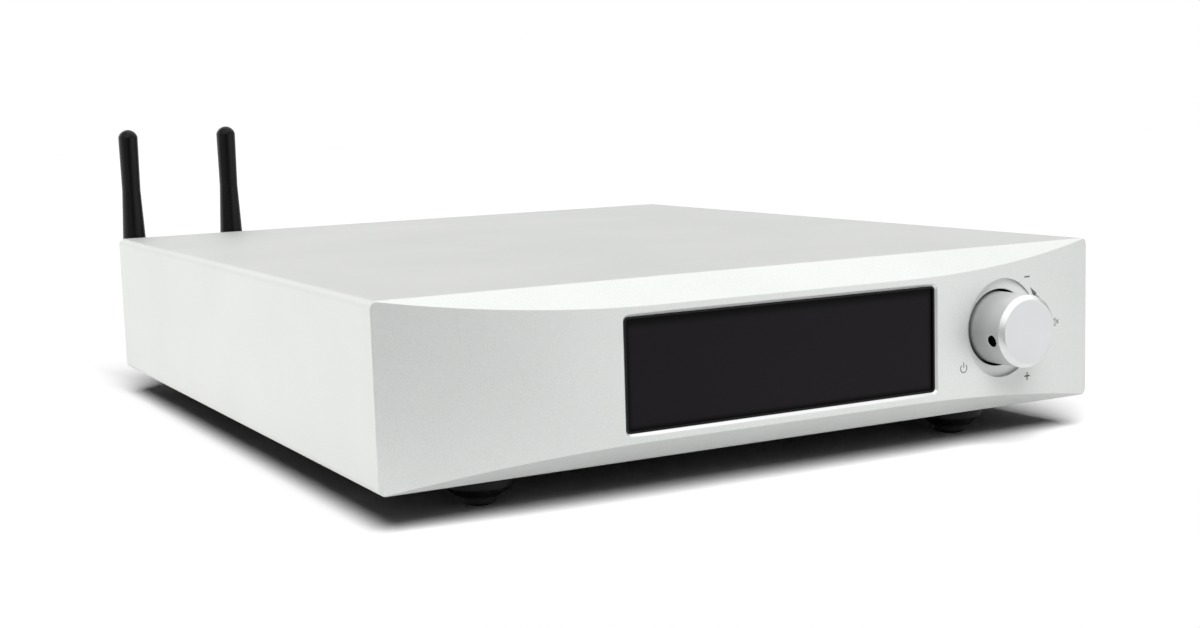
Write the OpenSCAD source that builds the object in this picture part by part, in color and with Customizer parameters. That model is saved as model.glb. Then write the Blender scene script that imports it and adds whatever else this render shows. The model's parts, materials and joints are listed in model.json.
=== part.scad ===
// Network music streamer: a flat aluminium case with a bowed front panel, a display window,
// a push-and-turn volume knob, a socket field at the back and two hinged antennas.
// Case frame: x to the right, y to the back from the ends of the front panel, z up from the underside.

/* [Case] */
// Width of the case
case_w = 235; // [230:1:245]
// Height of the case without its feet
case_h = 49; // [48:0.5:54]
// Depth from the ends of the front panel to the back of the cover
case_d = 262; // [256:1:290]
// Wall of the cover
cover_t = 2.5; // [2:0.1:3]
// Radius of the long edges of the case
edge_r = 2.2; // [1.4:0.1:2.4]
// Thickness of the base plate
base_t = 1.6; // [1.6:0.1:2.2]
// Thickness of the rear panel
rear_t = 2; // [1.8:0.1:2.6]
// How far the rear panel sits inside the end of the cover
rear_inset = 1; // [0.4:0.1:1.6]
// Width of the screw rails inside the cover
rail_w = 7; // [6.6:0.2:8]
// Height of the screw rails inside the cover
rail_h = 6.4; // [6.2:0.2:7.4]
// Distance of the outer rail screws from the front frame and the rear panel
rail_screw_in = 40; // [34:1:60]
// Gap between sheets that slide together
slide_gap = 0.15; // [0.1:0.05:0.3]

/* [Vents] */
// Number of slots in the base plate
vent_count = 8; // [4:1:9]
// Distance between neighbouring slots
vent_pitch = 6; // [5:0.5:6.5]
// Width of a slot
vent_w = 3; // [2:0.5:3.5]
// Length of a slot
vent_len = 60; // [30:5:80]

/* [Front panel] */
// Thickness of the panel at its ends
panel_t = 6; // [5.5:0.5:8]
// How far the middle of the panel bows out
panel_bow = 8.8; // [8:0.1:10]
// Width of the flat middle of the bow
panel_flat_w = 80; // [70:1:96]
// Height of the bevels above and below the bow
bevel_drop = 6.5; // [5.5:0.1:7]
// Sheet thickness of the inner front frame
frame_t = 1.5; // [1.2:0.1:2]
// Depth of the foot folded from the front frame
frame_foot = 8.5; // [7:0.5:9]
// Distance of the frame's outer base screws from the middle
frame_screw_x = 66; // [55:1:72]
// Distance of the outer panel screws from the ends of the panel
panel_screw_out = 16; // [14:0.5:18]
// Distance of the inner panel screws from the middle
panel_screw_in = 61; // [59.5:0.5:62]
// Distance of the panel screws above and below the middle
panel_screw_rise = 14.5; // [12:0.5:15]

/* [Display] */
// Width of the window at the face, chamfer included
window_w = 104; // [94:1:107]
// Height of the window at the face, chamfer included
window_h = 32.5; // [28:0.5:33.5]
// Corner radius of the window inside its chamfer
window_r = 1.2; // [1:0.1:2]
// Chamfer round the window
window_chamfer = 0.8; // [0.5:0.1:1]
// Wall of the black bezel that lines the window
bezel_t = 0.5; // [0.4:0.1:0.8]
// Width of the bezel's flange behind the panel
bezel_flange = 1.6; // [1.2:0.1:1.8]
// Thickness of the bezel's flange
bezel_flange_t = 1.2; // [0.8:0.1:1.5]
// Lip of the flange that backs the lens
bezel_lip = 1.2; // [0.8:0.1:2]
// Depth of the lens behind the face
lens_depth = 1.3; // [1:0.1:1.8]
// Thickness of the smoked lens
lens_t = 2; // [1.5:0.1:2.4]
// Thickness of the display module
display_t = 5.5; // [4.5:0.1:6]
// Radius of the spacers between the display module and the front frame
spacer_r = 2.2; // [1.8:0.1:2.6]
// Distance of the spacers from the edges of the display module
spacer_inset = 4; // [3.5:0.5:6]
// Clearance of parts that are set into a pocket
seat_gap = 0.1; // [0.05:0.05:0.2]

/* [Knob] */
// Distance of the knob's axis from the middle
knob_x = 77.9; // [76.5:0.1:79]
// Height of the knob's axis above the middle of the panel
knob_rise = 0.7; // [0:0.1:1]
// Radius of the knob
knob_r = 10.7; // [10:0.1:11]
// Bright chamfer at the knob's front edge
knob_edge = 1.3; // [0.8:0.1:1.6]
// How far the knob stands out of the flat middle of the panel
knob_reach = 9.2; // [8:0.1:12]
// Gap round the knob in its hole
knob_gap = 0.75; // [0.5:0.05:0.9]
// Radius of the spot-faced recess round the knob
recess_r = 14.6; // [13.5:0.1:15]
// Depth of the recess below the flat middle of the panel
recess_depth = 3.9; // [3:0.1:4.5]
// Panel left behind the knob's hole
knob_web = 4; // [3:0.1:4.5]
// Wall of the knob's skirt
knob_wall = 2.4; // [2:0.1:2.6]
// How far the knob is pushed in
knob_push = 0.6; // [0.4:0.1:0.8]
// Gap left behind the knob when it is pushed in
push_gap = 0.8; // [0.5:0.1:1]
// Metal left in front of the shaft's bore
knob_face_t = 2.4; // [2:0.1:2.6]
// Distance of the set screw behind the knob's face
set_screw_in = 4.3; // [4.1:0.1:5]
// Radius of the set screw
set_screw_r = 1.7; // [1.4:0.1:1.8]
// Length of the set screw
set_screw_len = 5; // [4:0.1:6]
// Turn of the set screw below the knob's left side
set_screw_turn = 12.6; // [0:0.2:20]

/* [Encoder] */
// Radius of the encoder's shaft
shaft_r = 3; // [2.8:0.05:3.1]
// Flat on the shaft, measured from the axis
shaft_flat = 2.5; // [2.3:0.05:2.7]
// Running clearance of the shaft in its bush
shaft_gap = 0.05; // [0.03:0.01:0.08]
// Outer radius of the threaded bush
bush_r = 4.4; // [4.2:0.1:4.6]
// How far the bush stands out in front of the nut
bush_end = 1; // [0.6:0.1:1.4]
// Width across the flats of the nut, halved
nut_half = 5.6; // [5.4:0.1:5.9]
// Thickness of the nut
nut_t = 2; // [1.6:0.1:2.2]
// Width and height of the encoder
encoder_w = 13; // [12:0.5:14]
// Depth of the encoder
encoder_d = 7.5; // [7:0.1:9]
// Wall of the encoder's chamber
encoder_wall = 1.2; // [1:0.1:1.4]
// Thickness of the plunger under the shaft
plunger_t = 1.6; // [1.2:0.1:2]
// Clearance round the plunger in the chamber
plunger_gap = 0.3; // [0.2:0.05:0.4]
// Clearance round the encoder in the front frame
encoder_gap = 0.8; // [0.5:0.1:1]

/* [Feet] */
// Height of the feet
foot_h = 10.5; // [9.5:0.1:12]
// Radius of a foot cup
foot_r = 9.6; // [9:0.1:11]
// Height of the straight part of a foot cup
foot_skirt = 5; // [4:0.1:6]
// Radius of a foot cup at its lower end
foot_tip_r = 6.2; // [5.8:0.1:7]
// Radius of the rubber pad
pad_r = 4.7; // [4.2:0.1:5]
// How far the pad stands below its cup
pad_reach = 2.6; // [2:0.1:3]
// Depth of the pad's socket in the cup
pad_socket = 3; // [2.5:0.1:3.4]
// Round at the pad's lower edge
pad_round = 1.4; // [1:0.1:1.8]
// Distance of the feet from the sides of the case
foot_in = 36.5; // [30:0.5:42]
// Distance of the front feet from the ends of the front panel
foot_y = 21; // [21:0.5:32]
// Distance of the rear feet from the back of the case
foot_back = 27; // [26:0.5:32]
// Height of the threaded boss in the base plate over a foot
foot_boss_h = 3; // [2:0.1:3.5]
// Wall of the threaded boss in the base plate
foot_boss_wall = 2.2; // [1.5:0.1:2.5]

/* [Screws] */
// Radius of the small screws
screw_r = 1.45; // [1.4:0.05:1.5]
// Head radius of the small screws
screw_head_r = 2.8; // [2.6:0.1:2.9]
// Head height of the small screws
screw_head_h = 1.4; // [1.2:0.1:1.6]
// Gap round a screw in its hole
screw_gap = 0.05; // [0.03:0.01:0.1]
// How far a small screw reaches into what it holds
screw_grip = 4.6; // [4:0.1:5]
// Radius of the foot screws
foot_screw_r = 2; // [1.8:0.05:2.2]
// Head radius of the foot screws
foot_head_r = 3.6; // [3.4:0.1:3.9]
// Head height of the foot screws
foot_head_h = 2; // [1.8:0.1:2.4]

/* [Boards] */
// Thickness of the circuit boards
board_t = 1.6; // [1.2:0.1:2]
// Height of the standoffs
standoff_h = 6; // [5.5:0.5:7]
// Radius of the hexagonal standoffs
standoff_r = 3; // [2.8:0.1:3.4]
// Distance of the standoffs from the edges of a board
standoff_inset = 5; // [4.5:0.5:6]
// Gap between the main board and the power board
board_gap = 16; // [8:1:20]
// Depth of the main board
main_d = 112; // [100:1:125]
// Gap between the main board and the rails and rear panel
main_gap = 1; // [0.8:0.1:1.5]
// Width of the processor module
module_w = 64; // [56:1:70]
// Depth of the processor module
module_d = 46; // [40:1:50]
// Height of the plug strips under the processor module
strip_h = 4; // [3:0.5:5]
// Height of the low parts on the boards
chip_h = 1.6; // [1.2:0.1:2]
// Width of the processor's square package
chip_w = 22; // [18:1:26]
// Width of the square heat sink
sink_w = 40; // [34:1:44]
// Height of the heat sink
sink_h = 14; // [10:0.5:18]
// Number of fins on the heat sink
sink_fins = 9; // [6:1:11]
// Thickness of a fin and of the heat sink's base
sink_t = 2; // [1.6:0.1:2.2]
// Width of the wireless module
wifi_w = 22; // [20:1:26]
// Depth of the wireless module
wifi_d = 30; // [26:1:34]
// Height of the wireless module's screening can
wifi_can_h = 3; // [2:0.1:4]
// Width of the display ribbon
ribbon_w = 20; // [16:1:24]
// Thickness of the display ribbon
ribbon_t = 0.6; // [0.4:0.1:0.8]

/* [Power supply] */
// Width of the power board
power_w = 56; // [50:1:58]
// Depth of the power board
power_d = 116; // [110:1:120]
// Distance of the power board in front of the rear panel
power_back = 44; // [40:1:50]
// Width of the transformer's core
core_w = 34; // [30:1:38]
// Depth of the transformer's core
core_d = 12; // [10:1:14]
// Height of the transformer's core
core_h = 28; // [24:1:31]
// Radius of the transformer's winding
winding_r = 11; // [10:0.5:13]
// Radius of the reservoir capacitors
can_r = 8; // [7:0.5:8.5]
// Height of the reservoir capacitors
can_h = 25; // [20:1:30]
// Number of reservoir capacitors
can_count = 3; // [2:1:3]

/* [Mains inlet] */
// Width of the inlet's flange
inlet_flange_w = 50; // [48:0.5:52]
// Height of the inlet's flange
inlet_flange_h = 22.6; // [22:0.2:25]
// Thickness of the inlet's and the balanced socket's flanges
flange_t = 2; // [1.6:0.1:2.4]
// Distance of the inlet's screws from its middle
inlet_screw_x = 20; // [18.5:0.25:21]
// Width of the inlet's body
inlet_w = 27.2; // [26.6:0.2:29]
// Height of the inlet's body
inlet_h = 19.6; // [19:0.2:21]
// Depth of the inlet's body behind its flange
inlet_d = 19; // [18:0.5:24]
// Width of the inlet's mouth
mouth_w = 24.2; // [23.6:0.1:24.6]
// Height of the inlet's mouth
mouth_h = 16.2; // [15.8:0.1:16.6]
// Cut corners of the inlet's mouth
mouth_cut = 4.5; // [4:0.1:5]
// Depth of the inlet's mouth
mouth_d = 17; // [16:0.5:18]
// Length of the inlet's pins in its mouth
pin_len = 11.6; // [10:0.2:12]
// Width of a pin
pin_w = 2; // [1.8:0.1:2.2]
// Height of a pin
pin_h = 4; // [3.6:0.1:4.2]
// Distance of the outer pins from the middle
pin_pitch = 7; // [6.8:0.1:7.2]
// Offset of the pins above and below the middle
pin_rise = 2; // [1.8:0.1:2.2]
// Length of the tags behind the inlet
tag_len = 8; // [6:0.5:9]
// Clearance of the sockets in the rear panel
socket_gap = 0.2; // [0.1:0.05:0.3]

/* [Mains switch] */
// Width of the switch's flange
switch_flange_w = 15; // [14.4:0.2:16]
// Height of the switch's flange
switch_flange_h = 21.5; // [21:0.5:23]
// Thickness of the switch's flange
switch_flange_t = 1.6; // [1.2:0.1:1.8]
// Width of the switch's body
switch_w = 12.8; // [12.6:0.1:13.4]
// Height of the switch's body
switch_h = 19; // [18.6:0.2:20]
// Depth of the switch's body
switch_d = 13; // [11:0.5:15]
// Wall of the switch's body beside the rocker
switch_wall = 1.1; // [1:0.05:1.2]
// Depth of the rocker's pivot below the rear panel's outer face
rocker_in = 2; // [1.8:0.1:2.4]
// How far the rocker's hollow stands out of its flange
rocker_out = 0.4; // [0.2:0.1:0.8]
// Tilt of the rocker to either side of its middle
rocker_tilt = 10; // [8:0.5:11]
// Clearance round the rocker
rocker_gap = 0.3; // [0.25:0.05:0.4]
// Radius of the rocker's pivots
pivot_r = 1; // [0.8:0.1:1.2]
// Running clearance of the pivots
pivot_gap = 0.05; // [0.03:0.01:0.08]

/* [Sockets] */
// How far the board's sockets stand out of the rear panel
socket_reach = 0.8; // [0.4:0.1:1.2]
// Width of the network socket
lan_w = 16; // [15.6:0.2:17]
// Height of the network socket
lan_h = 13.4; // [13.2:0.2:15]
// Depth of the network socket
lan_d = 19; // [17:0.5:22]
// Width of the network socket's mouth
lan_mouth_w = 11.8; // [11.6:0.1:12]
// Height of the network socket's mouth
lan_mouth_h = 7.6; // [7:0.1:8]
// Width of the latch notch under the mouth
lan_notch_w = 6; // [5.6:0.1:6.4]
// Height of the latch notch under the mouth
lan_notch_h = 2.2; // [2:0.1:2.4]
// Depth of the network socket's mouth
lan_mouth_d = 13; // [12:0.5:14]
// Width of the data sockets
usb_w = 13.4; // [13.2:0.1:14]
// Height of one data socket
usb_h = 7.4; // [7.2:0.1:8]
// Depth of the data sockets
usb_d = 17; // [15:0.5:19]
// Width of a data socket's mouth
usb_mouth_w = 12; // [11.8:0.1:12.4]
// Height of a data socket's mouth
usb_mouth_h = 5; // [4.8:0.1:5.4]
// Depth of a data socket's mouth
usb_mouth_d = 10; // [9:0.5:12]
// Thickness of a data socket's tongue
usb_tongue_t = 1.8; // [1.6:0.1:2]
// Width and height of the optical socket
optical_w = 9.8; // [9.6:0.1:11]
// Depth of the optical socket
optical_d = 13; // [12:0.5:15]
// Width and height of the optical socket's mouth
optical_mouth = 8.2; // [8:0.1:8.4]
// Cut corners of the optical socket's mouth
optical_cut = 1.8; // [1.4:0.1:2]
// Depth of the optical socket's mouth
optical_mouth_d = 8; // [7:0.5:9]
// Radius of the optical window in the mouth's floor
optical_eye_r = 1.6; // [1.2:0.1:2]
// Radius of the coaxial socket's barrel
coax_r = 4.15; // [4.1:0.05:4.2]
// Radius of the barrel's foot in the rear panel
coax_foot_r = 4.8; // [4.6:0.1:5]
// Radius of the coaxial socket's contact hole
coax_hole_r = 1.65; // [1.6:0.05:1.7]
// Length of the barrel outside the rear panel
coax_len = 8.6; // [8:0.1:9.5]
// Depth of the contact hole
coax_hole_d = 12; // [10:0.5:13]
// Width and height of the block behind the barrel
coax_block = 10.4; // [10:0.1:11]
// Depth of the block behind the barrel
coax_block_d = 11; // [9:0.5:13]
// Width of the balanced socket's flange
xlr_flange_w = 26; // [25.6:0.2:27]
// Height of the balanced socket's flange
xlr_flange_h = 31; // [30.6:0.2:32]
// Distance of its screws from the middle, sideways
xlr_screw_x = 9.5; // [9.3:0.1:9.6]
// Distance of its screws from the middle, upwards
xlr_screw_z = 12; // [11.8:0.1:12.2]
// Radius of its body
xlr_r = 10.4; // [10:0.1:10.6]
// Radius of its mouth
xlr_mouth_r = 8.2; // [8:0.1:8.6]
// Depth of its body behind the flange
xlr_d = 18; // [17:0.5:20]
// Depth of its mouth
xlr_mouth_d = 15; // [14.5:0.5:16]
// Length of its pins
xlr_pin_len = 10; // [9:0.1:10.4]
// Radius of its pins
xlr_pin_r = 1.2; // [1.1:0.05:1.3]
// Radius of the circle of its pins
xlr_pin_circle = 4.6; // [4.3:0.1:5]

/* [Antennas] */
// Distance of the left antenna from the side of the case
antenna_inset = 9.7; // [9.3:0.1:12]
// Distance between the two antennas
antenna_pitch = 38.4; // [36:0.2:40]
// Height of the antenna sockets above the underside
antenna_z = 32; // [31:0.5:33]
// Radius of the threaded antenna jack
jack_r = 3.1; // [3:0.05:3.2]
// Length of the jack outside its nut
jack_out = 4.6; // [4:0.1:5]
// Length of the jack inside the rear panel
jack_in = 11; // [9:0.5:12]
// Corner radius of the jack's hexagons
jack_hex_r = 4.8; // [4.6:0.1:5]
// Thickness of the jack's nut and flange
jack_nut_t = 1.8; // [1.5:0.1:2.2]
// Radius of the collar and the elbow
elbow_r = 4.8; // [4.6:0.1:5]
// Length of the collar
collar_len = 6; // [5.8:0.1:7]
// Radius of the collar's neck, on which the elbow turns
neck_r = 2.4; // [2.2:0.1:2.6]
// Length of the elbow's round part
elbow_len = 3.8; // [3.4:0.1:5]
// Gap between the elbow and the collar
swivel_gap = 0.3; // [0.2:0.05:0.4]
// Running clearance of the neck and of the hinge pin
turn_gap = 0.05; // [0.03:0.01:0.08]
// Distance of the hinge behind the elbow's round part
hinge_reach = 5; // [4.9:0.1:6]
// Radius of the hinge pin
hinge_pin_r = 1.2; // [1:0.05:1.4]
// Thickness of the mast's tongue
tongue_t = 4; // [3.6:0.1:4.4]
// Radius of the mast's tongue
tongue_r = 4.3; // [4:0.1:4.5]
// Gap between the mast and the elbow
mast_gap = 0.4; // [0.3:0.05:0.5]
// Length of the mast from its hinge to its tip
mast_len = 57.6; // [55:0.2:60]
// Radius of the mast at its foot
mast_foot_r = 4.8; // [4.6:0.1:5]
// Radius of the mast along its upper half
mast_r = 3.45; // [3.2:0.05:3.8]
// Length over which the mast narrows
mast_taper = 34; // [28:1:38]
// Radius of the mast under its round tip
mast_tip_r = 3.6; // [3.5:0.05:3.8]
// Height of the round tip
mast_cap = 2.9; // [2.4:0.1:3.3]

/* [Hidden] */
$fn = 48;

// Overshoot of a cut past the face that it opens
over = 1;
// Sides of the circle that makes the long bow of the panel
bow_sides = 720;
// Sides of a hexagon
hex = 6;

// Levels from front to back
face_y = -panel_bow;
knob_front = face_y - knob_reach;
bezel_front = face_y + window_chamfer;
lens_front = face_y + lens_depth;
lens_back = lens_front + lens_t;
display_front = lens_back + bezel_flange_t;
display_back = display_front + display_t;
recess_floor = face_y + recess_depth;
knob_floor = panel_t - knob_web;
nut_front = knob_floor - nut_t;
bush_front = nut_front - bush_end;
knob_back = knob_floor - push_gap - knob_push;
hub_back = bush_front - push_gap - knob_push;
shaft_front = knob_front + knob_face_t;
chamber_front = panel_t + encoder_wall;
plunger_front = chamber_front + push_gap;
frame_back = panel_t + frame_t;
rear_face = case_d - rear_inset;
rear_front = rear_face - rear_t;
socket_face = rear_face + socket_reach;
flange_face = rear_face + flange_t;

// Levels from bottom to top
mid_z = case_h / 2;
knob_z = mid_z + knob_rise;
inner_top = case_h - cover_t;
board_z = base_t + standoff_h;
board_top = board_z + board_t;

// Widths
half_w = case_w / 2;
inner_half = half_w - cover_t;
rail_x = inner_half - rail_w / 2;
left_antenna_x = -half_w + antenna_inset;
right_antenna_x = left_antenna_x + antenna_pitch;
antenna_xs = [left_antenna_x, right_antenna_x];
bow_run = half_w - panel_flat_w / 2;
bow_r = (bow_run * bow_run + panel_bow * panel_bow) / (2 * panel_bow);
opening_w = window_w - 2 * window_chamfer;
opening_h = window_h - 2 * window_chamfer;
ring_w = opening_w - 2 * seat_gap;
ring_h = opening_h - 2 * seat_gap;
lens_w = ring_w - 2 * bezel_t - 2 * seat_gap;
lens_h = ring_h - 2 * bezel_t - 2 * seat_gap;
display_w = opening_w + 2 * bezel_flange - 2 * seat_gap;
display_h = opening_h + 2 * bezel_flange - 2 * seat_gap;
spacers = [for (sx = [-1, 1], sz = [-1, 1])
    [sx * (display_w / 2 - spacer_inset), mid_z + sz * (display_h / 2 - spacer_inset)]];

// Screw places
small_hole_r = screw_r + screw_gap;
panel_screw_places = [for (sx = [-1, 1], sz = [-1, 1], x = [panel_screw_in, half_w - panel_screw_out])
    [sx * x, mid_z + sz * panel_screw_rise]];
frame_screw_y = frame_back + frame_foot / 2;
frame_screw_places = [for (x = [-frame_screw_x, 0, frame_screw_x]) [x, frame_screw_y]];
rail_screw_ys = [frame_back + rail_screw_in, (frame_back + rear_front) / 2, rear_front - rail_screw_in];
rail_screw_places = [for (sx = [-1, 1], y = rail_screw_ys) [sx * rail_x, y]];
rear_screw_places = [for (sx = [-1, 1], z = [base_t + rail_h / 2, inner_top - rail_h / 2]) [sx * rail_x, z]];
foot_x = half_w - foot_in;
foot_places = [for (y = [foot_y, case_d - foot_back], s = [-1, 1]) [s * foot_x, y]];
foot_hole_r = foot_screw_r + screw_gap;
cup_h = foot_h - pad_reach;
pad_top = pad_socket - cup_h;
head_top = pad_top + foot_head_h;

// Boards
main_x = -(inner_half - rail_w - main_gap);
main_y = rear_front - main_gap - main_d;
power_x = inner_half - rail_w - main_gap - power_w;
main_w = power_x - board_gap - main_x;
power_y = rear_front - power_back - power_d;
power_mid = power_x + power_w / 2;
board_corners = concat(corners(main_x, main_y, main_w, main_d), corners(power_x, power_y, power_w, power_d));
// Width of the header that takes the display ribbon, past the ribbon
header_margin = 3;
// Depth and height of that header
header_d = 6;
header_h = 6;
header_y = main_y + header_d;
module_x = main_x + main_w - standoff_inset * 2 - module_w;
module_y = header_y + 3 * header_d;
module_top = board_top + strip_h + board_t;
sink_z = module_top + chip_h;
wifi_x = left_antenna_x + antenna_pitch / 2;
wifi_y = main_y + main_d / 2;
wifi_top = board_top + board_t;

// Sockets
lan_x = wifi_x;
inlet_x = inner_half - inlet_flange_w / 2 - rail_w / 2;
row_start = right_antenna_x + elbow_r;
row_end = inlet_x + inlet_flange_w / 2;
row_widths = [usb_w, optical_w, coax_block, xlr_flange_w, switch_flange_w, inlet_flange_w];
row_gap = (row_end - row_start - run(row_widths, len(row_widths))) / len(row_widths);
row_places = [for (i = [0:len(row_widths) - 1])
    row_start + run(row_widths, i) + (i + 1) * row_gap + row_widths[i] / 2];
usb_x = row_places[0];
optical_x = row_places[1];
coax_x = row_places[2];
xlr_x = row_places[3];
switch_x = row_places[4];
inlet_floor = flange_face - mouth_d;
xlr_floor = flange_face - xlr_mouth_d;
pin_places = [[-pin_pitch, -pin_rise], [0, pin_rise], [pin_pitch, -pin_rise]];
socket_screw_places = concat(
    [for (sx = [-1, 1]) [inlet_x + sx * inlet_screw_x, mid_z]],
    [for (s = [-1, 1]) [xlr_x + s * xlr_screw_x, mid_z - s * xlr_screw_z]]);
optical_z = board_top + optical_w / 2;
coax_z = board_top + coax_block / 2;
pivot_y = rear_face - rocker_in;
rocker_w = switch_w - 2 * switch_wall - 2 * rocker_gap;
chamber_h = switch_h - 2 * switch_wall;
// Share of the chamber's height that the turning rocker leaves free
rocker_half = chamber_h / 2 - 4 * rocker_gap;
rocker_rise = rocker_in + switch_flange_t + rocker_out;
// Depth of the rocker's keel under its pivot
rocker_keel = 4.4;
// Half width of the rocker's keel
keel_half = 3;

// Antennas
collar_back = rear_face + jack_nut_t + collar_len;
elbow_front = collar_back + swivel_gap;
elbow_back = elbow_front + elbow_len;
hinge_y = elbow_back + hinge_reach;
neck_back = elbow_back - swivel_gap - over;
mast_foot = elbow_r + mast_gap;

// The whole part is centred over its own footprint and stands on its feet
back_reach = hinge_y + max(elbow_r, mast_foot_r);
mid_y = (knob_front + back_reach) / 2;

function corners(x, y, w, d) = [for (sx = [0, 1], sy = [0, 1])
    [x + standoff_inset + sx * (w - 2 * standoff_inset), y + standoff_inset + sy * (d - 2 * standoff_inset)]];
// Sum of the first n widths
function run(widths, n) = n == 0 ? 0 : widths[n - 1] + run(widths, n - 1);
function unit(v) = v / norm(v);
function bezier(p, t) = pow(1 - t, 3) * p[0] + 3 * t * pow(1 - t, 2) * p[1]
    + 3 * t * t * (1 - t) * p[2] + pow(t, 3) * p[3];
function bezier_way(p, t) = pow(1 - t, 2) * (p[1] - p[0]) + 2 * t * (1 - t) * (p[2] - p[1])
    + t * t * (p[3] - p[2]);

module placed() translate([0, -mid_y, foot_h]) children();
module along_y(y0, y1) translate([0, y1, 0]) rotate([90, 0, 0]) linear_extrude(y1 - y0) children();
module along_x(x0, x1) translate([x0, 0, 0]) rotate([90, 0, 90]) linear_extrude(x1 - x0) children();
module rod_y(r, y0, y1) translate([0, y0, 0]) rotate([-90, 0, 0]) cylinder(r = r, h = y1 - y0);
module rod_x(r, x0, x1) translate([x0, 0, 0]) rotate([0, 90, 0]) cylinder(r = r, h = x1 - x0);

// Centred rectangle with round corners
module rounded_rect(w, h, r) {
    square([w - 2 * r, h], center = true);
    square([w, h - 2 * r], center = true);
    for (sx = [-1, 1], sy = [-1, 1])
        translate([sx * (w / 2 - r), sy * (h / 2 - r)]) circle(r);
}

// Centred rectangle with its two upper corners cut off
module cut_rect(w, h, cut) polygon([
    [-w / 2, -h / 2], [w / 2, -h / 2], [w / 2, h / 2 - cut],
    [w / 2 - cut, h / 2], [cut - w / 2, h / 2], [-w / 2, h / 2 - cut]]);

// Screw along +z with a sunk head that is flush at z = 0
module sunk_screw(reach) {
    cylinder(r1 = screw_head_r, r2 = screw_r, h = screw_head_h);
    cylinder(r = screw_r, h = reach);
}

// Hole for a sunk screw
module sunk_hole(reach) {
    cylinder(r1 = screw_head_r + screw_gap, r2 = small_hole_r, h = screw_head_h);
    translate([0, 0, -over]) cylinder(r = small_hole_r, h = reach + over);
}

// Screw along +z with its head under z = 0
module pan_screw(reach) {
    translate([0, 0, -screw_head_h]) cylinder(r = screw_head_r, h = screw_head_h);
    translate([0, 0, -screw_head_h]) cylinder(r = screw_r, h = screw_head_h + reach);
}

// Round lead along a curve of four points, with its rings squared up against the side vector
module lead(p, r, side, steps = 16, sides = 8) {
    ways = [for (i = [0:steps]) unit(bezier_way(p, i / steps))];
    points = [for (i = [0:steps]) let (n = unit(cross(ways[i], side)), b = cross(ways[i], n))
        for (turn = [0:360 / sides:359]) bezier(p, i / steps) + r * (cos(turn) * n + sin(turn) * b)];
    walls = [for (i = [0:steps - 1], k = [0:sides - 1])
        let (a = i * sides + k, c = i * sides + (k + 1) % sides)
        for (f = [[a, c, c + sides], [a, c + sides, a + sides]]) f];
    start = [for (k = [1:sides - 2]) [0, k + 1, k]];
    end = [for (k = [1:sides - 2]) [0, k, k + 1] + [1, 1, 1] * steps * sides];
    polyhedron(points, concat(walls, start, end));
}

// Plan of the front panel: a flat middle and two arcs that run back to and past its ends
module panel_plan() {
    translate([-panel_flat_w / 2, face_y]) square([panel_flat_w, panel_t - face_y]);
    for (side = [0, 1])
        mirror([side, 0])
            intersection() {
                translate([panel_flat_w / 2, bow_r - panel_bow]) circle(bow_r, $fn = bow_sides);
                translate([panel_flat_w / 2, face_y]) square([bow_run + over, panel_t - face_y]);
            }
}

// Block that planes a bevel from the top front edge down to the bow
module bevel_cut() {
    slope = atan(bevel_drop / panel_bow);
    translate([-case_w, 0, case_h])
        rotate([slope, 0, 0])
            translate([0, -3 * panel_bow, 0]) cube([2 * case_w, 3 * panel_bow, 2 * panel_bow]);
}

// Opening of the window with a chamfer of flat sides and round corners, and the bezel's pocket behind it
module window_cut() {
    flare = window_chamfer + over;
    front = face_y - over;
    along_x(window_r - opening_w / 2, opening_w / 2 - window_r)
        polygon([
            [front, -opening_h / 2 - flare], [front, opening_h / 2 + flare],
            [bezel_front, opening_h / 2], [bezel_front, -opening_h / 2]]);
    translate([0, 0, window_r - opening_h / 2])
        linear_extrude(opening_h - 2 * window_r)
            polygon([
                [-opening_w / 2 - flare, front], [opening_w / 2 + flare, front],
                [opening_w / 2, bezel_front], [-opening_w / 2, bezel_front]]);
    for (sx = [-1, 1], sz = [-1, 1])
        translate([sx * (opening_w / 2 - window_r), front, sz * (opening_h / 2 - window_r)])
            rotate([-90, 0, 0]) cylinder(r1 = window_r + flare, r2 = window_r, h = bezel_front - front);
    along_y(bezel_front - seat_gap, panel_t + over) rounded_rect(opening_w, opening_h, window_r);
    along_y(lens_back, panel_t + over)
        rounded_rect(opening_w + 2 * bezel_flange, opening_h + 2 * bezel_flange, window_r);
}

module front_panel() {
    color("Silver")
        difference() {
            intersection() {
                translate([0, 0, -over]) linear_extrude(case_h + 2 * over) panel_plan();
                along_y(face_y - over, panel_t + over) translate([0, mid_z]) rounded_rect(case_w, case_h, edge_r);
            }
            bevel_cut();
            translate([0, 0, case_h]) mirror([0, 0, 1]) bevel_cut();
            translate([0, 0, mid_z]) window_cut();
            translate([knob_x, 0, knob_z]) {
                rod_y(recess_r, knob_front, recess_floor);
                rod_y(knob_r + knob_gap, knob_front, knob_floor);
                rod_y(bush_r + screw_gap, face_y, panel_t + over);
            }
            for (place = panel_screw_places)
                translate([place[0], 0, place[1]])
                    rod_y(small_hole_r, panel_t - screw_grip - screw_gap, panel_t + over);
        }
}

module display_bezel() {
    color("Black")
        translate([0, 0, mid_z])
            difference() {
                union() {
                    along_y(bezel_front, lens_back + over) rounded_rect(ring_w, ring_h, window_r);
                    along_y(lens_back, display_front) rounded_rect(display_w, display_h, window_r);
                }
                along_y(bezel_front - over, lens_back)
                    rounded_rect(ring_w - 2 * bezel_t, ring_h - 2 * bezel_t, window_r - bezel_t);
                along_y(lens_back - over, display_front + over)
                    rounded_rect(lens_w - 2 * bezel_lip, lens_h - 2 * bezel_lip, window_r);
            }
}

module display_lens() {
    color("DimGray")
        translate([0, 0, mid_z])
            along_y(lens_front, lens_back) rounded_rect(lens_w, lens_h, window_r - bezel_t);
}

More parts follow.
